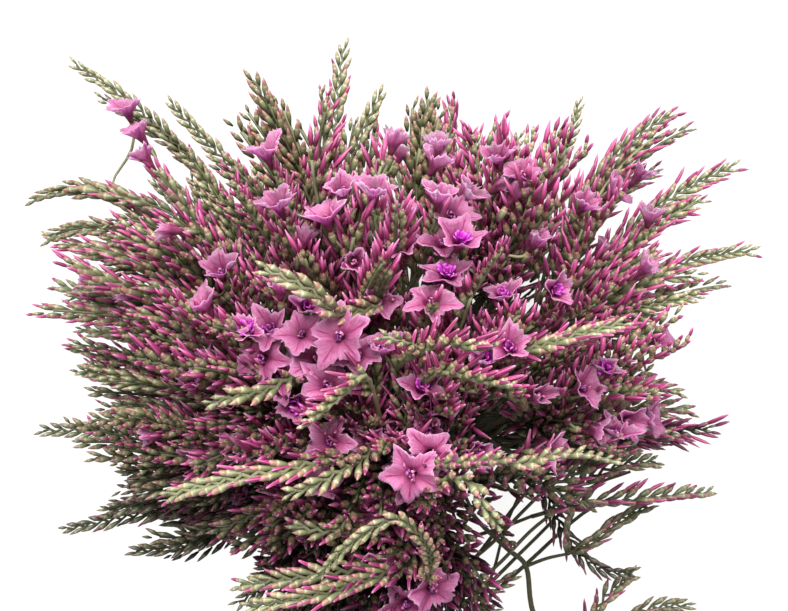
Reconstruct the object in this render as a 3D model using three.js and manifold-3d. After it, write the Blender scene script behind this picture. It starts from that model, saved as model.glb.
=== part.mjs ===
// Dried statice: a bunch of nine cut stems lying on its side on the surface z = 0.
// The stems run from their cut ends (-Y) through a twine tie and fork into sprays of flat,
// two-ranked spikes (+Y). Some spikes end in an open papery flower. Millimetres and radians,
// +Z up, origin at the bottom centre of the bounding box.

import * as THREE from 'three';
import { mergeVertices } from 'three/addons/utils/BufferGeometryUtils.js';
import Module from 'manifold-3d';

const wasm = await Module();
wasm.setup();

// The head is a blunt dome. Everything in it grows along straight rays out of one point, the
// fork, which lies low in the dome where the stems begin to part.
const FORK = new THREE.Vector3(0, 68, 60);
const DOME_CENTRE = new THREE.Vector3(0, 118, 62);
const DOME_HALF = { across: 102, along: 77, above: 76, below: 80 };
const DOME_BLUNTNESS = 2.8; // 2 would be an ellipsoid

// How far round from the head's top the growth reaches: further on the left than on the right,
// where the stems show bare.
const SPREAD = THREE.MathUtils.degToRad(111);
const SPREAD_LEAN = THREE.MathUtils.degToRad(19);

const STEM_COUNT = 9;
const SPRAY_RAYS = 41;
const SPIKE_RAYS = 262;
const GAP = 0.3;
const FORKS_FROM = 0.3; // share of a stem's last stretch at which its forks start

// Stretches along a ray, as shares of its reach.
const HUB_AT = 0.27;
const SPRAY_FROM = 0.4;
const SPIKES_FROM = 0.44;
const SPIKES_TO = 0.6;
const SHORT_TIP = { from: 0.8, vary: 0.1 }; // every third spike stays inside the dome
const TALL_TIP = { from: 0.93, vary: 0.09 };

// Tips that stand out past the dome, measured from the fork: right, forward, up.
const STRAY_TIPS = [
  [-97, 123, 20], [-112, 82, 15], [-40, 113, 45], [-15, 129, 20], [-3, 112, 30], [11, 109, 40],
  [60, 117, 0], [86, 109, 15], [105, 93, 15], [113, 67, 10], [89, 53, 30], [96, 13, 20],
  [100, -9, 10], [92, -42, 10], [73, -30, 20], [-96, -15, 30], [-73, -18, 40], [-103, 14, 30],
  [-113, 56, 10], [-45, -35, 35], [-64, 108, 35], [38, 102, 20],
];

// Where the open flowers' rims are, measured from the fork in the same way.
const FLOWER_TIPS = [
  [-33, 90, 62], [-29, 76, 68], [-5, 79, 70], [11, 78, 70], [9, 52, 72], [-23, 44, 70],
  [-9, 39, 72], [-16, 17, 68], [5, 8, 66], [49, 30, 62], [71, 19, 45], [68, 87, 45],
  [68, 61, 51], [-71, 93, 38],
];
const FLOWER_ROOM = 10; // a spike whose tip comes nearer to a flower's rim stays short
const CROWDED_TIP = 0.78;

const STEM_RADIUS = { cut: 1.7, tie: 1.5, hub: 1.1 };
const FORK_RADIUS = { from: 0.8, to: 0.65 };
const RACHIS_RADIUS = { from: 0.65, to: 0.45 };
const SPIKE_HALF = { stalk: 0.4, width: 2.1, thickness: 1.1 };
const FLOWER = { foot: 0.7, throat: 2.4, point: 6.3, notch: 4.6, depth: 7, wall: 0.5 };

const TIE = { y: -50, z: 31, ring: 4.4, width: 9, thickness: 1.2, tilt: 0.19 };
const MIDDLE_STEM_DROP = 1.15;
const CUT_ENDS = { y: -197, z: 11.4, ring: 10.5 };

const material = (color, roughness) =>
  new THREE.MeshStandardMaterial({ color, roughness, metalness: 0 });
const STEM_LOOK = material(0x6f7050, 0.8);
const SPRAY_LOOK = material(0x8a5f78, 0.75);
const FLOWER_LOOK = material(0xd877b4, 0.7);
const TIE_LOOK = material(0xb69b70, 0.9);

// ---- Growth rules ----------------------------------------------------------------------------

// A repeatable number from 0 to 1 for each n.
function vary(n) {
  const s = Math.sin(n * 12.9898 + 4.1) * 43758.5453;
  return s - Math.floor(s);
}

function direction(polar, around) {
  return new THREE.Vector3(
    Math.sin(polar) * Math.cos(around),
    Math.cos(polar),
    Math.sin(polar) * Math.sin(around),
  );
}

// The widest polar angle that growth takes on this side of the bunch.
function spreadAt(around) {
  return SPREAD - SPREAD_LEAN * Math.cos(around);
}

// Directions spread evenly over the dome, by the golden angle.
function evenDirections(count) {
  const golden = Math.PI * (3 - Math.sqrt(5));
  const widest = SPREAD + SPREAD_LEAN;
  const found = [];
  for (let i = 0; i < count; i++) {
    const polar = Math.acos(1 - ((1 - Math.cos(widest)) * (i + 0.5)) / count);
    const around = i * golden;
    const wrapped = Math.atan2(Math.sin(around), Math.cos(around));
    if (polar < spreadAt(wrapped)) found.push(direction(polar, wrapped));
  }
  return found;
}

// How far a ray from the fork runs before it leaves the dome or meets the surface.
function reach(ray) {
  const inside = (r) => {
    const p = ray.clone().multiplyScalar(r).add(FORK).sub(DOME_CENTRE);
    const deep = p.z > 0 ? DOME_HALF.above : DOME_HALF.below;
    const across = Math.hypot(p.x / DOME_HALF.across, p.z / deep);
    const along = Math.abs(p.y) / DOME_HALF.along;
    return across ** DOME_BLUNTNESS + along ** DOME_BLUNTNESS < 1;
  };
  let near = 0;
  let far = 200;
  for (let i = 0; i < 40; i++) {
    const middle = (near + far) / 2;
    if (inside(middle)) near = middle;
    else far = middle;
  }
  const toSurface = ray.z < 0 ? FORK.z / -ray.z : Infinity;
  return Math.min(near, toSurface);
}

function nearest(ray, rays) {
  let best = 0;
  rays.forEach((other, i) => {
    if (ray.dot(other) > ray.dot(rays[best])) best = i;
  });
  return best;
}

const onRay = (ray, distance) => ray.clone().multiplyScalar(distance).add(FORK);

// ---- Solids ----------------------------------------------------------------------------------

// A three.js geometry as a closed solid: shared corners merged, slivers on the axis dropped.
function solidOf(geometry) {
  geometry.deleteAttribute('normal');
  geometry.deleteAttribute('uv');
  const merged = mergeVertices(geometry, 1e-4);
  const corners = merged.index.array;
  const kept = [];
  for (let i = 0; i < corners.length; i += 3) {
    const [a, b, c] = corners.slice(i, i + 3);
    if (a !== b && b !== c && c !== a) kept.push(a, b, c);
  }
  return new wasm.Manifold(new wasm.Mesh({
    numProp: 3,
    vertProperties: new Float32Array(merged.attributes.position.array),
    triVerts: new Uint32Array(kept),
  }));
}

function geometryOf(solid) {
  const mesh = solid.getMesh();
  const geometry = new THREE.BufferGeometry();
  geometry.setAttribute('position', new THREE.BufferAttribute(new Float32Array(mesh.vertProperties), 3));
  geometry.setIndex(new THREE.BufferAttribute(new Uint32Array(mesh.triVerts), 1));
  geometry.computeVertexNormals();
  return geometry;
}

// A lathe bent along a curve. The profile's points are [half width, place on the curve, half
// thickness], and the width lies across the curve in the plane that holds `flat`.
function bent(profile, sides, curve, flat) {
  const rows = profile.map(([half, at]) => new THREE.Vector2(half, at));
  const lathe = new THREE.LatheGeometry([new THREE.Vector2(0, profile[0][1]), ...rows], sides);
  const places = lathe.attributes.position;
  const thickness = [0, ...profile.map(([half, , thick]) => (half ? (thick ?? half) / half : 0))];
  const perColumn = profile.length + 1;
  for (let i = 0; i < places.count; i++) {
    const at = Math.min(Math.max(places.getY(i), 0), 1);
    const along = curve.getTangent(at);
    const normal = new THREE.Vector3().crossVectors(flat, along).normalize();
    const side = new THREE.Vector3().crossVectors(along, normal);
    const p = curve.getPoint(at)
      .addScaledVector(side, places.getX(i))
      .addScaledVector(normal, places.getZ(i) * thickness[i % perColumn]);
    places.setXYZ(i, p.x, p.y, p.z);
  }
  return solidOf(lathe);
}

const bezier = (a, b, c, d) => new THREE.CubicBezierCurve3(a, b, c, d);

function branch(curve, from, to, steps, sides, flat) {
  const profile = [];
  for (let i = 0; i <= steps; i++) {
    profile.push([THREE.MathUtils.lerp(from, to, i / steps), i / steps]);
  }
  profile.push([0, 1]);
  return bent(profile, sides, curve, flat);
}

// A direction across `ray` that is handy as a branch's side.
function across(ray, towards) {
  const side = towards.clone().addScaledVector(ray, -towards.dot(ray));
  if (side.length() < 1e-3) side.set(ray.z, ray.x, ray.y).cross(ray);
  return side.normalize();
}

// ---- The rays of stems, sprays and spikes ----------------------------------------------------

function stemRays() {
  const rays = [direction(0.05, Math.PI / 2)];
  for (let i = 0; i < STEM_COUNT - 1; i++) {
    const around = ((i + 0.5) / (STEM_COUNT - 1)) * 2 * Math.PI - Math.PI;
    rays.push(direction(spreadAt(around) * (i % 2 ? 0.75 : 0.5), around));
  }
  return rays;
}

function spikeRays() {
  const spikes = evenDirections(SPIKE_RAYS).map((ray, i) => {
    const full = reach(ray);
    const share = i % 3 === 1 ? SHORT_TIP : TALL_TIP;
    return { ray, full, tip: full * Math.min(share.from + share.vary * vary(i), 1) };
  });
  // Each stray or flower takes the place of the spike that was nearest to it.
  const directions = spikes.map((spike) => spike.ray);
  const setTip = (tip, extra) => {
    const wanted = new THREE.Vector3(...tip);
    const full = wanted.length();
    const ray = wanted.normalize();
    spikes[nearest(ray, directions)] = { ray, full, tip: full, ...extra };
  };
  STRAY_TIPS.forEach((tip) => setTip(tip, {}));
  FLOWER_TIPS.forEach((tip, i) => setTip(tip, { flower: i }));
  const flowers = spikes.filter((spike) => spike.flower !== undefined);
  for (const spike of spikes) {
    const close = (flower) => spike.ray.distanceTo(flower.ray) * flower.tip < FLOWER_ROOM;
    if (spike.flower === undefined && flowers.some(close)) {
      spike.tip = Math.min(spike.tip, spike.full * CROWDED_TIP);
    }
  }
  return spikes;
}

const stems = stemRays().map((ray) => ({ ray, sprays: [] }));
const sprays = evenDirections(SPRAY_RAYS).map((ray) => ({ ray, full: reach(ray), spikes: [] }));
const spikes = spikeRays();

for (const spray of sprays) {
  const rays = stems.map((stem) => stem.ray);
  stems[nearest(spray.ray, rays)].sprays.push(spray);
}
for (const spike of spikes) {
  sprays[nearest(spike.ray, sprays.map((spray) => spray.ray))].spikes.push(spike);
}

// ---- Flowers ---------------------------------------------------------------------------------

// A thin funnel with five points, closed at its foot, along +Z from the origin.
function flowerSolid() {
  const { foot, throat, point, notch, depth, wall } = FLOWER;
  const profile = [
    [0, 0], [foot, 0], [throat, depth * 0.55], [point, depth],
    [point - wall, depth + wall * 0.6], [throat - wall, depth * 0.55 + wall], [0, wall * 3],
  ];
  const lathe = new THREE.LatheGeometry(profile.map(([r, y]) => new THREE.Vector2(r, y)), 10);
  lathe.rotateX(Math.PI / 2);
  const places = lathe.attributes.position;
  for (let i = 0; i < places.count; i++) {
    const x = places.getX(i);
    const y = places.getY(i);
    const r = Math.hypot(x, y);
    const between = Math.round((Math.atan2(y, x) / Math.PI) * 5 + 0.5) % 2 !== 0;
    if (r > throat * 1.2 && between) {
      places.setX(i, x * (notch / point));
      places.setY(i, y * (notch / point));
    }
  }
  return solidOf(lathe);
}

// ---- Sprays ----------------------------------------------------------------------------------

function spikeSolid(spray, spike, share) {
  const foot = onRay(spray.ray, share * spray.full);
  const tip = onRay(spike.ray, spike.tip);
  const bend = onRay(spike.ray, 0.5 * (share * spray.full + spike.tip));
  const curve = bezier(foot, foot.clone().lerp(bend, 0.6), bend, tip);
  const flat = across(spike.ray, spray.ray.clone().add(new THREE.Vector3(0, 0, 1e-3)));
  const { stalk, width, thickness } = SPIKE_HALF;
  return bent(
    [[stalk, 0], [width, 0.4, thickness], [width * 0.7, 0.85, thickness * 0.7], [0, 1]],
    4, curve, flat,
  );
}

// The spike nearest to the spray's own ray carries the rachis on, and the others leave it on the
// way, the widest first.
function spraySolid(spray) {
  const { ray, full } = spray;
  const order = [...spray.spikes].sort((a, b) => a.ray.dot(ray) - b.ray.dot(ray));
  const start = onRay(ray, SPRAY_FROM * full + GAP);
  const end = onRay(ray, (SPIKES_TO + 0.02) * full);
  const flat = across(ray, new THREE.Vector3(1, 0, 0));
  const rachis = branch(
    new THREE.LineCurve3(start, end), RACHIS_RADIUS.from, RACHIS_RADIUS.to, 1, 5, flat,
  );
  return order.reduce((solid, spike, i) => {
    const share = THREE.MathUtils.lerp(SPIKES_FROM, SPIKES_TO, (i + 1) / order.length);
    return solid.add(spikeSolid(spray, spike, share));
  }, rachis);
}

// ---- Stems -----------------------------------------------------------------------------------

// Where stem `index` passes a ring of the bunch: the first runs inside it, on the lower ones.
function ringPoint(index, { y, z, ring }) {
  if (index === 0) return new THREE.Vector3(0, y, z - MIDDLE_STEM_DROP);
  const around = Math.atan2(stems[index].ray.z, stems[index].ray.x);
  return new THREE.Vector3(ring * Math.cos(around), y, z + ring * Math.sin(around));
}

function stemSolid(stem, index) {
  const cut = ringPoint(index, CUT_ENDS);
  const tied = ringPoint(index, TIE);
  const hubReach = Math.min(...stem.sprays.map((spray) => spray.full)) * HUB_AT;
  const hub = onRay(stem.ray, hubReach);
  const along = new THREE.Vector3(0, Math.cos(TIE.tilt), Math.sin(TIE.tilt));
  const flat = new THREE.Vector3(1, 0, 0);
  const rise = tied.distanceTo(hub);
  const lower = bezier(
    cut, cut.clone().lerp(tied, 0.4), tied.clone().addScaledVector(along, -rise * 0.5), tied,
  );
  const upper = bezier(
    tied, tied.clone().addScaledVector(along, rise * 0.55),
    hub.clone().addScaledVector(stem.ray, -hubReach * 0.4), hub,
  );
  const path = new THREE.CurvePath();
  path.add(lower);
  path.add(upper);
  const tieAt = lower.getLength() / path.getLength();
  const profile = [];
  const steps = 12;
  for (let i = 0; i <= steps; i++) {
    const at = i / steps;
    const { cut: thick, tie: middle, hub: thin } = STEM_RADIUS;
    const radius = at < tieAt
      ? THREE.MathUtils.lerp(thick, middle, at / tieAt)
      : THREE.MathUtils.lerp(middle, thin, (at - tieAt) / (1 - tieAt));
    profile.push([radius, at]);
  }
  profile.push([0, 1]);
  const solid = bent(profile, 6, path, flat);
  // The forks leave the last straight stretch of the tube, the widest first.
  const last = path.getPoint((steps - 1) / steps);
  const order = [...stem.sprays].sort((a, b) => a.ray.dot(stem.ray) - b.ray.dot(stem.ray));
  return order.reduce((joined, spray, i) => {
    const from = last.clone().lerp(hub, THREE.MathUtils.lerp(FORKS_FROM, 0.98, i / order.length));
    return joined.add(forkSolid(from, spray, flat));
  }, solid);
}

// A fork leaves the stem at a steep angle and swings round into its spray's ray.
function forkSolid(from, spray, flat) {
  const end = onRay(spray.ray, SPRAY_FROM * spray.full);
  const length = from.distanceTo(end);
  const bend = end.clone().addScaledVector(spray.ray, -length * 0.4);
  const curve = bezier(from, from.clone().lerp(bend, 0.5), bend, end);
  return branch(curve, FORK_RADIUS.from, FORK_RADIUS.to, 3, 5, flat);
}

// ---- The bunch -------------------------------------------------------------------------------

const bunch = new THREE.Group();

function place(name, geometry, look) {
  const mesh = new THREE.Mesh(geometry, look);
  mesh.name = name;
  bunch.add(mesh);
  return mesh;
}

const numbered = (name, i) => `${name}_${String(i + 1).padStart(2, '0')}`;

const flowers = FLOWER_TIPS.map((_, i) => spikes.find((spike) => spike.flower === i));

flowers.forEach((spike, i) => {
  const mesh = place(numbered('flower', i), geometryOf(flowerSolid()), FLOWER_LOOK);
  spike.tip -= FLOWER.depth;
  mesh.position.copy(onRay(spike.ray, spike.tip + GAP));
  mesh.quaternion.setFromUnitVectors(new THREE.Vector3(0, 0, 1), spike.ray);
});

stems.forEach((stem, i) => place(numbered('stem', i), geometryOf(stemSolid(stem, i)), STEM_LOOK));
sprays.forEach((spray, i) => place(numbered('spray', i), geometryOf(spraySolid(spray)), SPRAY_LOOK));

// The tie is a flat ring of wound twine that closes round the nine stems.
const inner = TIE.ring + STEM_RADIUS.tie + GAP;
const outer = inner + TIE.thickness;
const tieProfile = [
  [inner, -TIE.width / 2], [outer, -TIE.width / 2], [outer, TIE.width / 2],
  [inner, TIE.width / 2], [inner, -TIE.width / 2],
];
const tieRing = new THREE.LatheGeometry(tieProfile.map(([r, y]) => new THREE.Vector2(r, y)), 24);
const tie = place('tie', geometryOf(solidOf(tieRing)), TIE_LOOK);
tie.position.set(0, TIE.y, TIE.z);
tie.rotation.x = TIE.tilt;

export default bunch;
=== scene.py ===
"""Dried statice: a tied bunch of nine cut stems that lies on its side, seen from above."""

import math

import bpy
import numpy as np
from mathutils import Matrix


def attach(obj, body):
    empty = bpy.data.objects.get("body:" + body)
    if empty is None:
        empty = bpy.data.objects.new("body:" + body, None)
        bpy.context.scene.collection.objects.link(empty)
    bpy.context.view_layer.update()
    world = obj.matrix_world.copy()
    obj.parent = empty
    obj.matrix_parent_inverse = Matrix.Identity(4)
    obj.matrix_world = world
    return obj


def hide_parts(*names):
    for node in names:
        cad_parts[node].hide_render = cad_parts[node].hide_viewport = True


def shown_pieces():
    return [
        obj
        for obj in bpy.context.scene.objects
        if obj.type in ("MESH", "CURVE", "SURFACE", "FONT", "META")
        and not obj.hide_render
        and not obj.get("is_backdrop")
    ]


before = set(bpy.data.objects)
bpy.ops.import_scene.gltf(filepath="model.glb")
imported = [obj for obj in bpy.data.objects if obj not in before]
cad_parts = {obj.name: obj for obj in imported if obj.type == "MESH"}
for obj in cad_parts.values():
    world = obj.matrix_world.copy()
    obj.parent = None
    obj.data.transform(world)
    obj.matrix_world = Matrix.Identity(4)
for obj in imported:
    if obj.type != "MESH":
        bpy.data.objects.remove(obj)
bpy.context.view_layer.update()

# ---- The fork, where the stems part -------------------------------------------------------
# A statice head is a blunt dome. All its branches fan out of one small stretch of the stems,
# the fork, and reach the dome's skin or are pressed short by the surface they lie on.

MM = 0.001
FORK = np.array((0.0, 68.0, 60.0))
DOME_CENTRE = np.array((0.0, 118.0, 62.0))
DOME_ACROSS, DOME_ALONG, DOME_ABOVE, DOME_BELOW = 102, 77, 76, 80
DOME_BLUNTNESS = 2.8
SPREAD, SPREAD_LEAN = math.radians(111), math.radians(19)
GOLDEN_TURN = math.pi * (3 - math.sqrt(5))
FURTHEST, HALVINGS = 200.0, 40  # how the end of a ray is searched for
FULL_TURN = 2 * math.pi


def vary(n):
    """A repeatable number from 0 to 1 for each n. What the calls add to n keeps them apart."""
    s = math.sin(n * 12.9898 + 4.1) * 43758.5453
    return s - math.floor(s)


def sway(first, count, step=1):
    """Repeatable numbers from -0.5 to 0.5."""
    return np.array([vary(first + step * i) - 0.5 for i in range(count)])


def clip(x):
    """The number kept between 0 and 1."""
    return min(max(x, 0), 1)


def unit(v):
    return v / np.linalg.norm(v, axis=-1, keepdims=True)


def square_to(along, v):
    """The unit direction at a right angle to `along` that is nearest to v."""
    return unit(v - (v * along).sum(-1, keepdims=True) * along)


def turned(angle, a, b):
    """From a towards b by an angle."""
    return np.cos(angle)[..., None] * a + np.sin(angle)[..., None] * b


def direction(polar, around):
    return np.array(
        (math.sin(polar) * math.cos(around), math.cos(polar), math.sin(polar) * math.sin(around))
    )


def spread_at(around):
    return SPREAD - SPREAD_LEAN * math.cos(around)


def even_directions(count, turn=0.0):
    """Directions spread evenly over the dome by the golden angle."""
    widest, found = SPREAD + SPREAD_LEAN, []
    for i in range(count):
        polar = math.acos(1 - (1 - math.cos(widest)) * (i + 0.5) / count)
        around = i * GOLDEN_TURN + turn
        around = math.atan2(math.sin(around), math.cos(around))
        if polar < spread_at(around):
            found.append(direction(polar, around))
    return found


def reach(ray):
    """How far a ray from the fork runs before it leaves the dome or meets the surface."""
    near, far = 0.0, FURTHEST
    for _ in range(HALVINGS):
        middle = (near + far) / 2
        x, y, z = ray * middle + FORK - DOME_CENTRE
        across = math.hypot(x / DOME_ACROSS, z / (DOME_ABOVE if z > 0 else DOME_BELOW))
        if across**DOME_BLUNTNESS + (abs(y) / DOME_ALONG) ** DOME_BLUNTNESS < 1:
            near = middle
        else:
            far = middle
    return min(near, FORK[2] / -ray[2] if ray[2] < 0 else math.inf)


def nearest(ray, rays):
    return int(np.argmax(np.array(rays) @ ray))


def bezier(a, b, c, d, steps):
    t = np.linspace(0, 1, steps)[:, None]
    return (1 - t) ** 3 * a + 3 * (1 - t) ** 2 * t * b + 3 * (1 - t) * t**2 * c + t**3 * d


def lengths_along(path):
    """How far along the path each of its points lies."""
    return np.concatenate([[0], np.cumsum(np.linalg.norm(np.diff(path, axis=0), axis=1))])


def points_at(path, wanted):
    """The points that lie the wanted lengths along the path."""
    lengths = lengths_along(path)
    return np.stack([np.interp(wanted, lengths, path[:, axis]) for axis in range(3)], -1)


# Rays of the stems and sprays, and which stem carries each spray.
STEM_COUNT = 9
stem_rays = [direction(0.05, math.pi / 2)]
for i in range(STEM_COUNT - 1):
    around = (i + 0.5) / (STEM_COUNT - 1) * FULL_TURN - math.pi
    stem_rays.append(direction(spread_at(around) * (0.75 if i % 2 else 0.5), around))
SPRAY_RAYS = 41
spray_rays = even_directions(SPRAY_RAYS)
spray_reach = [reach(ray) for ray in spray_rays]
stem_of_spray = [nearest(ray, stem_rays) for ray in spray_rays]

# ---- Skins: how each grown part gets its surface -------------------------------------------
# Stalks, scales, buds and petals are all closed skins of rings. Every piece gathers its skins
# into one mesh, and each skin has its own cell on the piece's map.

PRESSED = 2.0  # what hangs lower than this is pressed flat by the surface
CELL_SHARE = 0.92  # of a cell's width and height, the skin takes this much
CAP_BAND = 0.06  # of the skin's height on the map, this much at each end is for its end cap
CAP_WIDTH, CAP_HEIGHT = 0.4, 0.025  # from the middle of a cap to its edge on the map


class Skins:
    def __init__(self):
        self.batches = []

    def add(self, rings, marks):
        """Adds parts of the same make: rings and marks are (parts, rings, sides, 3)."""
        self.batches.append((rings, np.broadcast_to(marks, rings.shape)))

    def count(self):
        return sum(len(rings) for rings, _ in self.batches)

    def piece(self, name, material, slot, stands_for=()):
        """Makes the mesh object, which rides on the root body."""
        cells = math.ceil(math.sqrt(self.count()))
        points, marks, corners, sizes, maps = [], [], [], [], []
        first, part = 0, 0
        for rings, mark in self.batches:
            n, rows, sides, _ = rings.shape
            points.append(rings.reshape(-1, 3))
            marks.append(mark.reshape(-1, 3))
            start = first + np.arange(n)[:, None, None] * rows * sides
            row = np.arange(rows - 1)[None, :, None]
            side = np.arange(sides)[None, None, :]
            turn = (side + 1) % sides
            a, b = start + row * sides + side, start + row * sides + turn
            quads = np.stack([a, b, b + sides, a + sides], -1).reshape(-1, 4)
            foot_cap, tip_cap = start + side[..., ::-1], start + (rows - 1) * sides + side
            corners += [quads.ravel(), foot_cap.ravel(), tip_cap.ravel()]
            sizes += [np.full(len(quads), 4), np.full(2 * n, sides)]
            # Each skin is unrolled into its cell: the turn across it, the length up it.
            u0, u1 = side / sides, (side + 1) / sides
            v0, v1 = (CAP_BAND + (1 - 2 * CAP_BAND) * r / (rows - 1) for r in (row, row + 1))
            index = part + np.arange(n)[:, None, None]
            cell = np.stack([index % cells, index // cells], -1)

            def laid(*spots):
                spots = [np.stack(np.broadcast_arrays(u, v), -1) for u, v in spots]
                shape = np.broadcast_shapes(cell.shape, spots[0].shape)
                edge = (1 - CELL_SHARE) / 2 + cell
                flat = [(np.broadcast_to(s, shape) * CELL_SHARE + edge) / cells for s in spots]
                return np.stack(flat, -2).reshape(-1, 2)

            maps.append(laid((u0, v0), (u1, v0), (u1, v1), (u0, v1)))
            about = side * FULL_TURN / sides
            across_cap, up_cap = 0.5 + CAP_WIDTH * np.cos(about), CAP_HEIGHT * np.sin(about)
            maps.append(laid((across_cap, CAP_BAND / 2 - up_cap)))
            maps.append(laid((across_cap, 1 - CAP_BAND / 2 + up_cap)))
            first += n * rows * sides
            part += n
        points, corners = np.concatenate(points), np.concatenate(corners)
        if slot in ("bract", "petal"):
            low = points[:, 2] < PRESSED
            points[low, 2] = PRESSED * np.exp(points[low, 2] / PRESSED - 1)
        sizes = np.concatenate(sizes)
        mesh = bpy.data.meshes.new(name)
        mesh.vertices.add(len(points))
        mesh.vertices.foreach_set("co", (points * MM).astype(np.float32).ravel())
        mesh.loops.add(len(corners))
        mesh.loops.foreach_set("vertex_index", corners.astype(np.int32))
        mesh.polygons.add(len(sizes))
        starts = np.concatenate([[0], np.cumsum(sizes)[:-1]])
        mesh.polygons.foreach_set("loop_start", starts.astype(np.int32))
        mesh.polygons.foreach_set("use_smooth", np.ones(len(sizes), bool))
        growth = mesh.attributes.new("growth", "FLOAT_VECTOR", "POINT")
        growth.data.foreach_set("vector", np.concatenate(marks).astype(np.float32).ravel())
        layer = mesh.uv_layers.new(name="OFBake")
        layer.uv.foreach_set("vector", np.concatenate(maps).astype(np.float32).ravel())
        mesh.update(calc_edges=True)
        mesh.materials.append(material)
        made = bpy.data.objects.new(name, mesh)
        bpy.context.scene.collection.objects.link(made)
        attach(made, "root")
        if stands_for:
            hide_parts(*stands_for)


def marked(*marks):
    """Growth marks, given as three numbers or arrays."""
    return np.stack(np.broadcast_arrays(*marks), -1)


def across(along, hint):
    """Unit vectors out of and beside each direction, with the first one near the hint."""
    out = square_to(along, hint)
    return out, np.cross(out, along)


def stalk(path, radii, sides, marks, hint=(0.3, 0.2, 1.0), ridges=0.0):
    """A round stalk along a path, as rings for Skins.add, with ribs if ridges is over 0."""
    along = unit(np.gradient(path, axis=0))
    out, beside = across(along, np.array(hint, float))
    turn = np.arange(sides) * FULL_TURN / sides
    ribs = 1 + ridges * np.cos(turn * sides / 2)[None, :, None]
    round_about = turned(turn[None], beside[:, None], out[:, None]) * ribs
    rings = path[:, None] + round_about * np.asarray(radii)[:, None, None]
    mark = np.broadcast_to(np.asarray(marks)[:, None], rings.shape)
    return rings[None], mark[None]


# ---- Dry plant tissue ----------------------------------------------------------------------
# Everything on the bunch has dried: its colour has gone blotchy and its skin has shrunk into
# fine creases. One group gives this to each finish, at its own scale.

CREASE_DEPTH = 0.2 * MM


class Tree:
    """A tree of shader nodes under way, with short ways to join them."""

    def __init__(self, tree):
        self.nodes, self.links = tree.nodes, tree.links

    def give(self, socket, value):
        """Sets a socket to a number or a colour, or links it to another node's output."""
        if isinstance(value, (int, float, tuple)):
            socket.default_value = value
        else:
            self.links.new(value, socket)

    def sums(self, operation, a, b=0.0):
        node = self.nodes.new("ShaderNodeMath")
        node.operation = operation
        for socket, value in zip(node.inputs, (a, b)):
            self.give(socket, value)
        return node.outputs[0]


def dry_tissue_group():
    group = bpy.data.node_groups.new("dry_tissue", "ShaderNodeTree")
    for in_out, name, kind in (
        ("INPUT", "Color", "Color"), ("INPUT", "Tone", "Float"), ("INPUT", "Spread", "Float"),
        ("INPUT", "Blotch Scale", "Float"), ("INPUT", "Blotch", "Float"),
        ("OUTPUT", "Color", "Color"), ("OUTPUT", "Height", "Float"),
    ):
        group.interface.new_socket(name=name, in_out=in_out, socket_type=f"NodeSocket{kind}")
    tree = Tree(group)
    given = tree.nodes.new("NodeGroupInput").outputs
    made = tree.nodes.new("NodeGroupOutput").inputs
    where = tree.nodes.new("ShaderNodeTexCoord")
    blotches = tree.nodes.new("ShaderNodeTexNoise")
    blotches.inputs["Detail"].default_value = 3
    tree.links.new(where.outputs["Object"], blotches.inputs["Vector"])
    tree.links.new(given["Blotch Scale"], blotches.inputs["Scale"])
    # Lighter and darker by part, where the spikes' painted shade also comes in, then by blotch: 1 is
    # the plain colour.
    shades = [
        tree.sums("MULTIPLY", tree.sums("SUBTRACT", value, 0.5), given[strength])
        for value, strength in ((given["Tone"], "Spread"), (blotches.outputs["Fac"], "Blotch"))
    ]
    shaded = tree.nodes.new("ShaderNodeVectorMath")
    shaded.operation = "SCALE"
    tree.links.new(given["Color"], shaded.inputs[0])
    tree.links.new(tree.sums("ADD", tree.sums("ADD", *shades), 1.0), shaded.inputs["Scale"])
    tree.links.new(shaded.outputs[0], made["Color"])
    tree.links.new(blotches.outputs["Fac"], made["Height"])
    return group


dry_tissue = dry_tissue_group()


def srgb(r, g, b):
    """A colour given in 0 to 255 display steps, as the shader's linear numbers."""
    steps = [c / 255 for c in (r, g, b)]
    return (*(c / 12.92 if c < 0.04 else ((c + 0.055) / 1.055) ** 2.4 for c in steps), 1.0)


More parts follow.
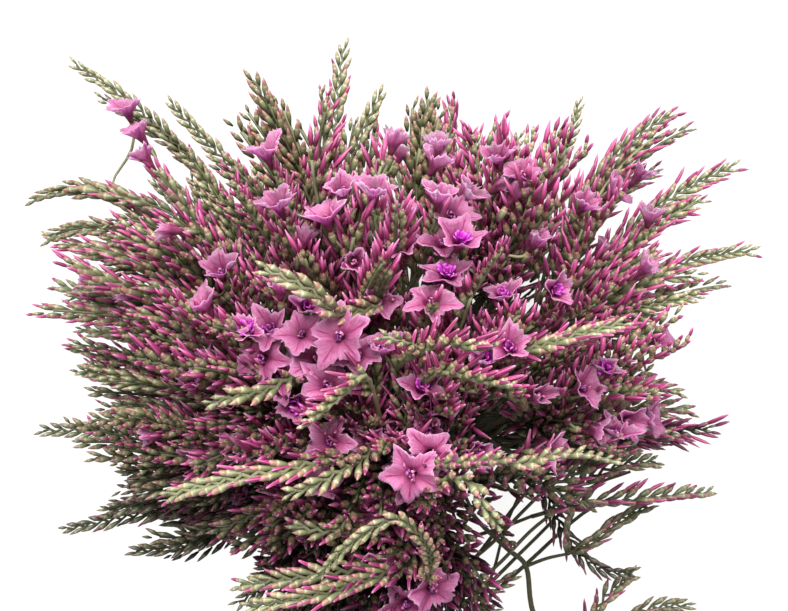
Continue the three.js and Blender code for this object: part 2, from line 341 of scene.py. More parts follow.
class Finish(Tree):
    """A material under way. Its x, y and z are the growth marks of the skins."""

    def __init__(self, name, roughness, specular=0.4):
        self.material = bpy.data.materials.new(name)
        self.material.use_nodes = True
        super().__init__(self.material.node_tree)
        self.shader = self.nodes["Principled BSDF"]
        self.shader.inputs["Roughness"].default_value = roughness
        self.shader.inputs["Specular IOR Level"].default_value = specular
        mark = self.nodes.new("ShaderNodeAttribute")
        mark.attribute_name = "growth"
        apart = self.nodes.new("ShaderNodeSeparateXYZ")
        self.links.new(mark.outputs["Vector"], apart.inputs[0])
        self.x, self.y, self.z = apart.outputs

    def ramp(self, factor, *stops):
        """Colours by place: each stop is its place and a colour in display steps."""
        node = self.nodes.new("ShaderNodeValToRGB")
        self.links.new(factor, node.inputs[0])
        elements = node.color_ramp.elements
        while len(elements) < len(stops):
            elements.new(1.0)
        for element, (place, *colour) in zip(elements, stops):
            element.position, element.color = place, srgb(*colour)
        return node.outputs[0]

    def fade(self, factor, low, high):
        """0 below low, 1 above high, smooth between."""
        node = self.nodes.new("ShaderNodeMapRange")
        node.interpolation_type = "SMOOTHSTEP"
        self.links.new(factor, node.inputs["Value"])
        node.inputs["From Min"].default_value = low
        node.inputs["From Max"].default_value = high
        return node.outputs[0]

    def mix(self, factor, a, b):
        node = self.nodes.new("ShaderNodeMix")
        node.data_type = "RGBA"
        colours = [s for s in node.inputs if s.type == "RGBA"]
        for socket, value in zip((node.inputs["Factor"], *colours), (factor, a, b)):
            self.give(socket, value)
        return next(s for s in node.outputs if s.type == "RGBA")

    def dry(self, colour, tone, spread, scale, blotch, bump):
        """Ends the finish: dried, creased and joined to the shader."""
        node = self.nodes.new("ShaderNodeGroup")
        node.node_tree = dry_tissue
        for socket, value in zip(node.inputs, (colour, tone, spread, scale, blotch)):
            self.give(socket, value)
        self.links.new(node.outputs["Color"], self.shader.inputs["Base Color"])
        creases = self.nodes.new("ShaderNodeBump")
        creases.inputs["Distance"].default_value = CREASE_DEPTH
        creases.inputs["Strength"].default_value = bump
        self.links.new(node.outputs["Height"], creases.inputs["Height"])
        self.links.new(creases.outputs[0], self.shader.inputs["Normal"])
        return self.material


# ---- Stems ---------------------------------------------------------------------------------
# Nine wiry stems, grey-green and faintly ribbed, straight and bare up to the fork, where each
# divides into one branch for every spray that it carries. Cut square at the foot.

STEM_RADIUS_CUT, STEM_RADIUS_TIE, STEM_RADIUS_HUB = 1.7, 1.5, 1.1
BRANCH_RADIUS_FROM, BRANCH_RADIUS_TO = 0.8, 0.62
TIE_Y, TIE_Z, TIE_RING, TIE_TILT = -50, 31, 4.4, 0.19
TIE_ALONG = np.array((0, math.cos(TIE_TILT), math.sin(TIE_TILT)))
CUT_Y, CUT_Z, CUT_RING = -197, 11.4, 10.5
MIDDLE_STEM_DROP = 1.15
HUB_AT, SPRAY_FROM, BRANCHES_FROM, BRANCHES_TO = 0.27, 0.4, 0.3, 0.98
STEM_STEPS, BRANCH_STEPS, STEM_RIBS = 26, 12, 0.05
LAST_STRETCH = 11 / 12  # the branches leave the stem between here and its hub


def wood_finish():
    finish = Finish("stem_bark", roughness=0.7, specular=0.3)
    green = finish.ramp(finish.y, (0.0, 92, 92, 66), (0.5, 116, 118, 88), (1.0, 138, 138, 106))
    brown = finish.ramp(finish.y, (0.0, 74, 62, 48), (1.0, 112, 92, 70))
    bark = finish.mix(finish.z, green, brown)
    return finish.dry(bark, finish.y, spread=0.3, scale=900.0, blotch=0.5, bump=0.5)


stem_bark = wood_finish()


def ring_point(index, y, z, ring):
    if index == 0:
        return np.array((0.0, y, z - MIDDLE_STEM_DROP))
    around = math.atan2(stem_rays[index][2], stem_rays[index][0])
    return np.array((ring * math.cos(around), y, z + ring * math.sin(around)))


def stem_path(index, carried):
    """The stem from its cut to its hub, below the sprays that it carries."""
    cut = ring_point(index, CUT_Y, CUT_Z, CUT_RING)
    tied = ring_point(index, TIE_Y, TIE_Z, TIE_RING)
    hub_reach = min(spray_reach[k] for k in carried) * HUB_AT
    hub = stem_rays[index] * hub_reach + FORK
    rise = np.linalg.norm(hub - tied)
    lean = TIE_ALONG * rise
    arriving = hub - stem_rays[index] * hub_reach * 0.4
    lower = bezier(cut, cut + (tied - cut) * 0.4, tied - lean * 0.5, tied, STEM_STEPS)
    upper = bezier(tied, tied + lean * 0.55, arriving, hub, STEM_STEPS)
    return np.concatenate([lower, upper[1:]])


def wood_marks(count, tone, brown_from, brown_to):
    place = np.linspace(0, 1, count)
    return marked(place, tone, brown_from + (brown_to - brown_from) * place)


def make_stem(index):
    carried = [k for k, stem in enumerate(stem_of_spray) if stem == index]
    path = stem_path(index, carried)
    steps = len(path)
    widths = (STEM_RADIUS_CUT, STEM_RADIUS_TIE, STEM_RADIUS_HUB)
    radii = np.interp(np.linspace(0, 1, steps), (0, 0.5, 1), widths)
    skins = Skins()
    skins.add(*stalk(path, radii, 12, wood_marks(steps, vary(index), 0.5, 0.15), ridges=STEM_RIBS))
    order = sorted(carried, key=lambda k: spray_rays[k] @ stem_rays[index])
    last = points_at(path, LAST_STRETCH * lengths_along(path)[-1])
    thin = np.linspace(BRANCH_RADIUS_FROM, BRANCH_RADIUS_TO, BRANCH_STEPS)
    for i, k in enumerate(order):
        share = BRANCHES_FROM + (BRANCHES_TO - BRANCHES_FROM) * i / len(order)
        start = last + (path[-1] - last) * share
        end = spray_rays[k] * SPRAY_FROM * spray_reach[k] + FORK
        bend = end - spray_rays[k] * np.linalg.norm(end - start) * 0.4
        branch = bezier(start, start + (bend - start) * 0.5, bend, end, BRANCH_STEPS)
        marks = wood_marks(BRANCH_STEPS, vary(k + 50), 0.1, 0.2)
        skins.add(*stalk(branch, thin, 8, marks, ridges=STEM_RIBS))
    name = f"stem_{index + 1:02d}"
    skins.piece(f"{name}_bark", stem_bark, "stem", [name])


for i in range(STEM_COUNT):
    make_stem(i)

# ---- Spikes --------------------------------------------------------------------------------
# A spike is a zig-zag stalk with two ranks of scaly spikelets on its upper side. Each spikelet
# is a spindle of olive-green bracts with a pale lip, out of which a pleated magenta bud grows.
# The youngest, at the tip, are still pale and closed. The oldest have the longest buds.

# How closely a spike is modelled: finest in front, rough where little of it shows.
FINEST, FINE, PLAIN, ROUGH = 0, 1, 2, 3
# For each: sides, then the rings of a spindle of bracts, as the place along it, the share of its
# width and the slant of the scale's edge.
BRACT_SHAPES = (
    (8, ((0, 0.6, 0), (0.1, 0.62, 0), (0.3, 0.84, 0), (0.52, 1.0, 0.06), (0.6, 1.0, 0.1),
         (0.64, 0.88, 0.1), (0.82, 0.84, 0.05), (0.94, 0.72, 0.05), (1.0, 0.5, 0.05))),
    (6, ((0, 0.4, 0), (0.28, 0.8, 0), (0.58, 1.0, 0.03), (0.85, 0.66, 0.05), (1.0, 0.34, 0.03))),
    (5, ((0, 0.4, 0), (0.46, 1.0, 0), (0.76, 0.84, 0), (1.0, 0.32, 0))),
    (4, ((0, 0.4, 0), (0.55, 1.0, 0), (1.0, 0.34, 0))),
)
# And the same for a bud, without the slant.
BUD_SHAPES = (
    (8, ((0, 0.86), (0.25, 1.0), (0.6, 0.84), (0.86, 0.6), (0.97, 0.36), (1.0, 0.14))),
    (5, ((0, 0.66), (0.34, 1.0), (0.74, 0.76), (1.0, 0.12))),
    (4, ((0, 0.76), (0.54, 1.0), (1.0, 0.18))),
    (3, ((0, 0.84), (0.54, 1.0), (1.0, 0.2))),
)
STALK_SIDES = (6, 5, 4, 3)
CLOSED_TIP = ((0.9, 0.5), (1.06, 0.08))  # where the last rings lie if no bud shows
BRACT_FLATNESS = 0.88  # thickness of a spindle against its width
BUD_TWIST, PLEAT_DEPTH = 0.8, 0.13
SHORTEST_BUD = 0.8  # one under this length doesn't show


def bract_finish():
    finish = Finish("bract_scales", roughness=0.42, specular=0.55)
    ripe = finish.ramp(
        finish.x, (0.0, 78, 80, 62), (0.06, 108, 110, 88), (0.14, 80, 84, 58),
        (0.42, 98, 101, 68), (0.57, 116, 107, 76), (0.62, 156, 138, 110),
        (0.7, 114, 88, 68), (0.86, 142, 90, 84), (1.0, 172, 106, 112),
    )
    young = finish.ramp(
        finish.x, (0.0, 90, 98, 72), (0.06, 136, 142, 112), (0.13, 90, 98, 68),
        (0.4, 120, 126, 86), (0.56, 146, 148, 108), (0.63, 192, 186, 156),
        (0.7, 138, 130, 96), (0.84, 164, 134, 108), (1.0, 186, 154, 136),
    )
    scales = finish.mix(finish.z, ripe, young)
    return finish.dry(scales, finish.y, spread=0.6, scale=1100.0, blotch=0.7, bump=0.5)


def bud_finish():
    finish = Finish("bud_calyx", roughness=0.45)
    # The ridges take the colour of lit calyx and the valleys a darker copy of it: painted shade in the
    # pleats.
    lit_ridge = finish.ramp(
        finish.x, (0.0, 176, 112, 124), (0.16, 172, 68, 116), (0.6, 182, 76, 128),
        (0.88, 200, 112, 158), (1.0, 218, 160, 184),
    )
    shaded_valley = finish.ramp(
        finish.x, (0.0, 136, 72, 90), (0.18, 118, 34, 76), (0.8, 138, 46, 94),
        (1.0, 186, 104, 144),
    )
    pleats = finish.mix(finish.fade(finish.z, -0.9, 0.9), shaded_valley, lit_ridge)
    return finish.dry(pleats, finish.y, spread=0.62, scale=1300.0, blotch=0.35, bump=0.3)


bract_scales = bract_finish()
bud_calyx = bud_finish()


def spines(foot, along, length, lean, place):
    """Points up the middle of each part, bent a little by `lean`."""
    ahead = place[..., None] * along[:, None, None] + (place**2)[..., None] * lean[:, None, None]
    return foot[:, None, None] + length[:, None, None, None] * ahead


def bracts(foot, along, out, length, half, closed, tone, young, lean, level):
    """Closed spindles of overlapping scales, bent a little towards the stalk by `lean`."""
    sides, shape = BRACT_SHAPES[level]
    place, width, slant = (np.tile(column, (len(foot), 1)) for column in np.array(shape).T)
    for k, (at, share) in zip((-2, -1), CLOSED_TIP):
        place[:, k] = np.where(closed, at, place[:, k])
        width[:, k] = np.where(closed, share, width[:, k])
    turn = np.arange(sides)[None, None] * FULL_TURN / sides
    at = place[..., None] + slant[..., None] * np.sin(turn)
    beside = np.cross(out, along)
    wide = (width * half[:, None])[..., None, None]
    round_about = turned(turn, beside[:, None, None], BRACT_FLATNESS * out[:, None, None])
    rings = spines(foot, along, length, lean, at) + wide * round_about
    return rings, marked(at / place[:, -1:, None], tone[:, None, None], young[:, None, None])


def buds(foot, along, out, length, half, tone, lean, level):
    """Slim pleated points that grow out of the bracts."""
    sides, shape = BUD_SHAPES[level]
    turn = np.arange(sides)[None, None] * FULL_TURN / sides
    place, width = np.array(shape).T[:, None, :, None]
    pleats = np.cos(sides / 2 * turn) if level < PLAIN else 0.3 + 0 * turn
    tone = tone[:, None, None]
    spin = turn + BUD_TWIST * place + 6 * tone
    beside = np.cross(out, along)
    wide = width * (1 + PLEAT_DEPTH * pleats) * half[:, None, None]
    round_about = turned(spin, beside[:, None, None], out[:, None, None])
    rings = spines(foot, along, length, lean, place) + wide[..., None] * round_about
    # The third mark, the pleat, places the painted shade in the valleys.
    return rings, marked(place, tone, pleats + 0 * spin)


class Spray:
    """One flowering branch: the skins of its wood, bracts, buds and flowers."""

    def __init__(self):
        self.wood, self.bracts, self.buds = Skins(), Skins(), Skins()
        self.calyxes, self.corollas = Skins(), Skins()
        self.seats = []  # where a flower could stand, and which way the bud there points


class Habit:
    """How a spike is built. `comb` is 1 for a mature one with close, upright buds and 0 for a
    young flat one; `zone` is the length that bears spikelets; `needle` stretches the buds."""

    def __init__(self, comb, ripe, green, size, level, zone, painted_shade, needle=1.0):
        self.ripe, self.green, self.size = ripe, green, size
        # painted_shade is painted shade: it darkens the colour of the whole spike.
        self.level, self.zone, self.painted_shade = level, zone, painted_shade
        self.pitch = (2.0 if level > FINE else 1.75) * (1 - 0.07 * comb) * size
        self.zigzag = (0.62 - 0.3 * comb) * size
        self.stalk = (0.82 if level == FINEST else 0.6) * size
        self.opening = 11 + 46 * comb  # degrees off the stalk at the oldest spikelet
        self.closing = 10 + 22 * comb  # and at the youngest
        self.rank_angle = math.radians(82 - 58 * comb)
        self.bract_length = (5.5 - 1.4 * comb - (0.4 if level == FINEST else 0)) * size
        self.bract_half = 0.98 * size
        self.bud_length = (4.6 + 1.0 * comb) * size * needle
        self.bud_half = (0.54 + 0.09 * comb) * size


def grow_spike(spray, path, upper, seed, habit):
    """Grows one spike on a spray: its stalk follows the path, its last stretch is scaly."""
    h = habit
    whole = lengths_along(path)[-1]
    zone = min(h.zone, whole * 0.9)
    count = max(int(zone / h.pitch), 4)
    k = np.arange(count) / (count - 1)  # 0 at the oldest spikelet, 1 at the tip
    along_path = whole - zone + zone * (1.12 * k - 0.12 * k * k) - 1.5 * h.size
    spots = points_at(path, along_path)
    heading = unit(points_at(path, along_path + 1.5) - points_at(path, along_path - 1.5))
    up, beside = across(heading, np.broadcast_to(upper, heading.shape))
    rank = np.where(np.arange(count) % 2, 1.0, -1.0)[:, None]
    noise = np.array([[vary(seed * 31 + i * 7 + j * 1009) for j in range(5)] for i in range(count)])
    out = turned(h.rank_angle + (noise[:, 0] - 0.5) * 0.5, up, rank * beside)
    opening = np.radians(h.opening + (h.closing - h.opening) * k + 20 * (noise[:, 1] - 0.5))
    along = turned(opening, heading, out)
    outward = square_to(along, out)
    shrink = 1 - 0.45 * k**6
    length = h.bract_length * shrink * (0.82 + 0.36 * noise[:, 2])
    half = h.bract_half * shrink * (0.88 + 0.24 * noise[:, 3])
    ripeness = np.clip(h.ripe * 1.5 - k * 1.15 + 0.5 * (noise[:, 4] - 0.5), 0, 1)
    bud = h.bud_length * ripeness**0.8 * (0.75 + 0.5 * noise[:, 0])
    growing = np.clip(2 * k - 1, 0, 1) * (0.25 + h.green)
    young = np.clip(h.green + growing + 0.3 * (noise[:, 3] - 0.5), 0, 1)
    # Each spikelet's tone varies at random and is darkened by the spike's painted shade.
    tone = 0.55 * vary(seed + 13) + 0.45 * noise[:, 2] - h.painted_shade
    lean = (heading - along) * 0.06
    nodes = spots + beside * rank * h.zigzag * shrink[:, None]
    feet = nodes + out * 0.15 * h.size
    b = bud > SHORTEST_BUD
    spray.bracts.add(*bracts(feet, along, outward, length, half, ~b, tone, young, lean, h.level))
    if b.any():
        lip = feet[b] + length[b, None] * (0.76 * along[b] + 0.58 * lean[b])
        aim = unit(along[b] + lean[b])
        side = square_to(aim, outward[b])
        thick = h.bud_half * (0.62 + 0.45 * ripeness[b])
        bend = out[b] * (noise[b, 1:2] - 0.4) * 0.14
        long = bud[b] + length[b] * 0.27
        # The buds' tone is darkened by the painted shade too.
        spray.buds.add(*buds(lip, aim, side, long, thick, noise[b, 3] - h.painted_shade, bend, h.level))
        spray.seats += [(lip[i], aim[i]) for i in np.flatnonzero(ripeness[b] > 0.3)]
    # The stalk: smooth up to the scaly part, then a zig-zag from foot to foot.
    bare = points_at(path, np.linspace(0, whole - zone, 6))[:-1]
    line = np.concatenate([bare, nodes[::2] if h.level >= PLAIN else nodes])
    place = np.linspace(0, 1, len(line))
    radii = np.linspace(1, 0.66, len(line)) * h.stalk
    # The stalk's tone gets twice the painted shade.
    marks = marked(place, vary(seed) - 2 * h.painted_shade, np.clip(0.7 - 0.9 * place, 0, 1))
    spray.wood.add(*stalk(line, radii, STALK_SIDES[h.level], marks, hint=upper))


# ---- Sprays --------------------------------------------------------------------------------
# A spray is a forked end branch with 9 to 66 spikes. The one nearest to its own ray carries the
# branch on, the others leave it on the way, the widest first.

SPIKE_RAYS, MIDDLE_SPIKES, SKIRT_SPIKES, TWIG_RAYS = 262, 40, 64, 600
SPIKES_FROM, SPIKES_TO = 0.44, 0.6
JOINT_GAP = 0.3  # between a stem and its spray, and between a spray and its flower
RACHIS_STEPS, RACHIS_FOOT, RACHIS_TIP = 8, 0.66, 0.3
TWIG_FOOT, TWIG_TIP = 1.292, 0.38
SPIKE_STEPS, TWIG_STEPS = 20, 6
LOWEST_SPIKE, LOWEST_TWIG = 2.2, 1.2  # no lower than this over the surface
# The most painted shade that darkens a spike's colour.
DARKEST_PAINTED_SHADE = 1.15
# Spikes that stand out of the head: tip in mm from the fork, turn to the left on the way in
# degrees, then comb habit, ripeness, greenness and size.
STRAYS = (
    ((-97, 123, 20), 21, 0.2, 0.35, 0.6, 1.0), ((-112, 82, 15), 62, 0.1, 0.35, 0.0, 1.1),
    ((-39, 113, 45), 8, 0.3, 0.3, 0.0, 1.3), ((-15, 129, 20), -16, 0.3, 0.7, 0.5, 1.1),
    ((-3, 112, 30), -35, 0.1, 0.25, 0.5, 1.1), ((10, 109, 40), -8, 0.3, 0.35, 0.0, 1.3),
    ((60, 117, 0), 21, 0.5, 0.2, 0.2, 0.9), ((86, 109, 15), -24, 0.3, 0.95, 0.2, 1.15),
    ((105, 93, 15), -20, 0.4, 0.85, 0.4, 1.1), ((113, 67, 10), -30, 0.3, 0.75, 0.4, 1.1),
    ((89, 53, 30), -19, 0.4, 0.45, 0.4, 1.0), ((96, 13, 20), -3, 0.6, 1.2, 0.1, 1.0),
    ((73, -30, 20), 40, 0.3, 0.6, 0.1, 0.9), ((-96, -15, 30), 1, 0.2, 0.6, 0.5, 1.0),
    ((-73, -18, 40), -22, 0.2, 0.3, 0.3, 1.0), ((-103, 14, 30), 4, 0.3, 0.4, 0.6, 1.05),
    ((-88, 32, 38), 10, 0.2, 0.45, 0.5, 1.1), ((-45, -35, 35), -10, 0.3, 0.6, 0.3, 1.0),
    ((-64, 108, 35), 12, 0.2, 0.3, 0.5, 1.0), ((38, 102, 20), 0, 0.4, 0.5, 0.4, 1.0),
    ((-90, 66, 28), 70, 0.3, 0.5, 0.0, 1.0), ((-99, 52, 20), 34, 0.2, 0.4, 0.3, 1.0),
)
STRAY_TWINS = 2  # more spikes beside each, a little shorter
# And more that make a thick tuft with one of them, given in the same way.
NEIGHBOURS = (
    ((-80, -3, 32), 0, 0.3, 0.5, 0.1, 1.0), ((-76, 4, 40), 0, 0.3, 0.5, 0.1, 1.0),
    ((-84, -9, 25), 0, 0.3, 0.5, 0.1, 1.0), ((-70, 0, 50), 0, 0.3, 0.5, 0.1, 1.0),
    ((-36, 108, 46), 5, 0.2, 0.3, 0.0, 1.15), ((-41, 104, 43), 12, 0.5, 0.4, 0.0, 1.1),
    ((-34, 102, 40), 2, 0.3, 0.3, 0.0, 1.2), ((13, 105, 44), -12, 0.3, 0.3, 0.0, 1.2),
    ((8, 103, 42), -4, 0.2, 0.35, 0.0, 1.15), ((16, 99, 40), -14, 0.5, 0.5, 0.0, 1.1),
    ((-84, 60, 30), 66, 0.3, 0.4, 0.0, 1.1), ((-86, 74, 24), 60, 0.2, 0.5, 0.1, 1.0),
    ((90, 104, 18), -28, 0.3, 0.8, 0.1, 1.1), ((80, 102, 24), -20, 0.5, 1.0, 0.0, 1.1),
    ((-46, 90, 38), 12, 0.4, 0.9, 0.0, 1.05), ((-51, 82, 34), 20, 0.5, 0.8, 0.1, 1.0),
    ((-42, 80, 44), 8, 0.5, 1.0, 0.0, 1.05), ((-53, 92, 30), 22, 0.3, 0.6, 0.1, 1.1),
    ((-38, 109, 41), 9, 0.2, 0.25, 0.0, 1.25), ((-32, 107, 43), 3, 0.3, 0.5, 0.0, 1.15),
    ((11, 107, 38), -9, 0.2, 0.3, 0.0, 1.25), ((5, 106, 42), -5, 0.3, 0.5, 0.0, 1.15),
)
HOLLOW, HOLLOW_WIDTH = unit(np.array((26.0, 19.0, 56.0))), math.radians(9)
# How far the head reaches, as a share of the dome, at each angle seen from above: 0 is to the
# right, 90 straight on, 180 to the left.
OUTLINE = (
    (-40, 0.98), (0, 0.98), (12, 0.99), (22, 0.88), (30, 0.92), (45, 0.87), (60, 0.9), (75, 0.88),
    (90, 0.9), (105, 0.89), (120, 0.88), (133, 0.97), (145, 1.08), (155, 1.13), (165, 1.1),
    (174, 1.0), (181, 0.9), (187, 0.84), (194, 0.82), (202, 0.76), (210, 0.76), (220, 0.82),
)
# Rims of the fourteen flowers that the construction holds, in mm from the fork.
FLOWER_TIPS = (
    (-33, 90, 62), (-29, 76, 68), (-5, 79, 70), (11, 78, 70), (9, 52, 72), (-23, 44, 70),
    (-9, 39, 72), (-16, 17, 68), (5, 8, 66), (49, 30, 62), (71, 19, 45), (68, 87, 45),
    (68, 61, 51), (-71, 93, 38),
)
FLOWER_DEPTH, FLOWER_ROOM, CROWDED_TIP = 7.0, 9.0, 0.9
AXIS = np.array((0.0, 1.0, 0.0))
UP = np.array((0.0, 0.0, 1.0))


class Ray:
    """One spike's ray from the fork: how far it could run and how far it does. Its turn and
    looks are given for a few; the rest get them by their place in the head."""

    def __init__(self, ray, full, tip, kind, turn=None, looks=None, flower=None):
        self.ray, self.full, self.tip, self.kind = ray, full, tip, kind
        self.turn, self.looks, self.flower = turn, looks, flower


def ray_to(spot, kind, turn=None, looks=None, flower=None):
    """The ray that ends at a spot, given in mm from the fork."""
    full = math.sqrt(sum(c * c for c in spot))
    return Ray(np.array(spot) / full, full, full, kind, turn, looks, flower)


def on_bare_side(ray):
    """The near right of the head, low down, where only a few thin branches grow."""
    return ray[0] > 0.2 and ray[1] < 0.12 and -0.15 < ray[2] < 0.94


def in_hollow(ray):
    """The dark gap in the near right, where hardly anything grows."""
    return ray @ HOLLOW > math.cos(HOLLOW_WIDTH)


def on_thick_side(ray):
    """The left of the head, where the spikes stand closest."""
    return ray[0] < -0.12 and ray[1] < 0.55 and ray[2] > -0.15


def in_sight(ray):
    return ray[2] > -0.1


def near_side(ray):
    return ray[2] > 0.45


def main_spikes():
    """The spikes that the construction holds."""
    rays = even_directions(SPIKE_RAYS)
    found = []
    for i, ray in enumerate(rays):
        full = reach(ray)
        # Every third one ends lower than the others.
        start, extra = (0.8, 0.1) if i % 3 == 1 else (0.93, 0.09)
        found.append(Ray(ray, full, full * min(start + extra * vary(i), 1), "main"))
    placed = [ray_to(tip, "stray", turn, looks) for tip, turn, *looks in STRAYS]
    flowers = [ray_to(tip, "flower", flower=i) for i, tip in enumerate(FLOWER_TIPS)]
    for s in placed + flowers:
        s.tip -= FLOWER_DEPTH if s.kind == "flower" else 0
        found[nearest(s.ray, rays)] = s
    flowers = [s for s in found if s.kind == "flower"]
    for s in found:
        room = min(np.linalg.norm(s.ray - f.ray) * f.full for f in flowers)
        if s.kind != "flower" and room < FLOWER_ROOM:
            s.tip = min(s.tip, s.full * CROWDED_TIP)
    return found


# More spikes between the main ones: how many rays to try and how the pattern is turned, how
# many degrees they keep clear of the main ones, between which shares of their reach they end,
# what keeps their draws apart, their kind, and where they grow.
BETWEEN = (
    (465, 1.3, 2.0, 0.84, 1.02, 700, "fill", None), (95, 2.1, 0.0, 0.5, 0.8, 1700, "inner", in_sight),
    (600, 0.7, 2.0, 0.6, 0.9, 2700, "under", near_side),
    (300, 0.4, 2.0, 0.74, 1.0, 3700, "fill", on_thick_side),
)
main = main_spikes()
taken = np.array([s.ray for s in main])
spikes = list(main)
for count, turn, apart, low, high, seed, kind, grows in BETWEEN:
    for i, ray in enumerate(even_directions(count, turn)):
        alone = (taken @ ray).max() < math.cos(math.radians(apart))
        room = not on_bare_side(ray) and not in_hollow(ray)
        if alone and room and (grows is None or grows(ray)):
            full = reach(ray)
            spikes.append(Ray(ray, full, full * (low + (high - low) * vary(i + seed)), kind))
# A third of the main ones stay on the bare side, and none in the gap.
spikes = [
    s for i, s in enumerate(spikes)
    if s.kind != "main" or not (in_hollow(s.ray) or on_bare_side(s.ray) and i % 3)
]
for i, s in enumerate([s for s in main if s.kind == "stray" and not on_bare_side(s.ray)]):
    for j in range(STRAY_TWINS):
        ray = unit(s.ray + sway(i * 9 + j * 4 + 5000, 3) * (0.16, 0.16, 0.2))
        tip = s.tip * (0.82 + 0.12 * vary(i + j * 40 + 5100))
        turn = s.turn + 14 * (vary(i + j * 30 + 5200) - 0.5)
        spikes.append(Ray(ray, tip, tip, "twin", turn, s.looks))
spikes += [ray_to(tip, "twin", turn, looks) for tip, turn, *looks in NEIGHBOURS]
# Tufts that fill the gaps between the long ones: middle in mm from the fork, and spikes.
TUFTS = (
    ((-28, 66, 52), 12), ((44, 64, 44), 8), ((-2, 30, 62), 6), ((-70, -6, 40), 5), ((-20, 82, 50), 6),
    ((47, 84, 34), 6), ((-95, 50, 20), 4), ((2, 93, 42), 5), ((-38, 60, 52), 8),
    ((-55, 48, 46), 8), ((-40, 20, 56), 6), ((-62, 20, 44), 6), ((24, 40, 56), 6), ((-50, 76, 42), 6),
    ((-34, 80, 46), 5), ((4, 56, 34), 5), ((6, 50, 52), 4),
)
for t, (middle, count) in enumerate(TUFTS):
    for i in range(count):
        spikes.append(ray_to(middle + sway(t * 50 + i * 3 + 7000, 3) * (26, 20, 16), "fill"))
        spikes[-1].tip *= 0.97
for i in range(MIDDLE_SPIKES):
    ray = unit(np.array((0.6 * (vary(i + 6000) - 0.45), 0.28 + 0.42 * vary(i + 6100), 0.92)))
    tip = reach(ray) * (0.66 + 0.2 * vary(i + 6200))
    if not in_hollow(ray):
        spikes.append(Ray(ray, tip / 0.8, tip, "under"))
# Short side spikes hang below the head like a skirt; painted shade darkens their colour.
for i in range(SKIRT_SPIKES):
    around = 0.25 + 1.85 * vary(i + 4000)
    lower = 0.3 + (0.45 if i % 2 else 0.9) * vary(i + 4100)
    ray = unit(np.array((-math.cos(around), -lower, math.sin(around))))
    tip = 48 + 22 * vary(i + 4200)
    spikes.append(Ray(ray, tip, tip, "skirt"))
# For each kind: the share of the spike that bears spikelets, and how much painted shade darkens its
# colour.
SCALY_AND_PAINTED_SHADE = {
    "main": (0.4, 0), "stray": (0.5, 0), "twin": (0.42, 0), "flower": (0.32, 0), "fill": (0.31, 0),
    "inner": (0.25, 0.8), "under": (0.25, 0.3), "skirt": (0.5, 0.4),
}
sprays = [Spray() for _ in spray_rays]
home = [nearest(s.ray, spray_rays) for s in spikes]


def level_of(s):
    """How closely to model a spike: less so if it is short, between others or underneath."""
    stray = s.kind == "stray"
    if s.kind in ("inner", "under") or (s.ray[2] < -0.25 and not stray):
        return ROUGH
    seen = (s.ray[2] > -0.05 or stray) and s.tip > 0.9 * s.full
    return FINE if seen and s.kind not in ("fill", "twin") else PLAIN


def outline(ray):
    """The head's reach on this ray, as a share of the dome's."""
    around = (math.degrees(math.atan2(ray[1], ray[0])) + 90) % 360 - 90
    share = np.interp(around, *zip(*OUTLINE))
    return 1 + (share - 1) * math.sqrt(1 - min(abs(ray[2]) * 1.3, 1))


def turn_of(s, k, seed):
    """How far a spike turns to the left on its way, seen from above: outwards, but on the left
    of the head only the forward ones do and the rest turn up."""
    if s.turn is not None:
        return math.radians(s.turn)
    x, y, z = s.ray
    outwards = -28 * x * clip(0.15 + 1.6 * y) if x > 0 else -32 * x * min(1.5 * y - 0.6, 1)
    tuft = 44 - 20 * max(z, 0)
    return math.radians(outwards + tuft * (vary(k * 3 + 500) - 0.5) + 34 * (vary(seed + 510) - 0.5))


def main_path(s, foot, k, seed):
    """A spike's path out of its spray and round to its own heading, and which way is back
    towards the stems there."""
    end = FORK + s.ray * s.tip
    back = square_to(s.ray, -AXIS)
    towards_eye = max(s.ray[2] - 0.45, 0)
    heading = s.ray
    if s.kind != "flower":
        heading = unit(turned(turn_of(s, k, seed), s.ray, np.cross(UP, s.ray)))
    if s.kind not in ("flower", "stray", "twin"):
        sideways = np.cross(s.ray, AXIS) * (vary(seed + 900) - 0.5)
        end = FORK + s.ray * s.tip * outline(s.ray) * (0.94 + 0.1 * vary(k + 700))
        end = end + back * (1 + 4 * vary(seed + 310) + 16 * towards_eye)
        # The spikes of one spray keep together, with gaps between the sprays.
        gather = 0.3 - 0.5 * towards_eye
        end = end + sideways * (8 + 24 * towards_eye) + (spray_rays[k] - s.ray) * s.tip * gather
        heading = unit(heading + (back * 0.9 + 1.4 * sideways) * towards_eye)
    way = np.linalg.norm(end - foot)
    leaving = unit(1.7 * (end - foot) / way - 0.7 * heading)
    path = bezier(foot, foot + leaving * 0.35 * way, end - heading * 0.42 * way, end, SPIKE_STEPS)
    path[:, 2] = np.maximum(path[:, 2], LOWEST_SPIKE)
    return path, back


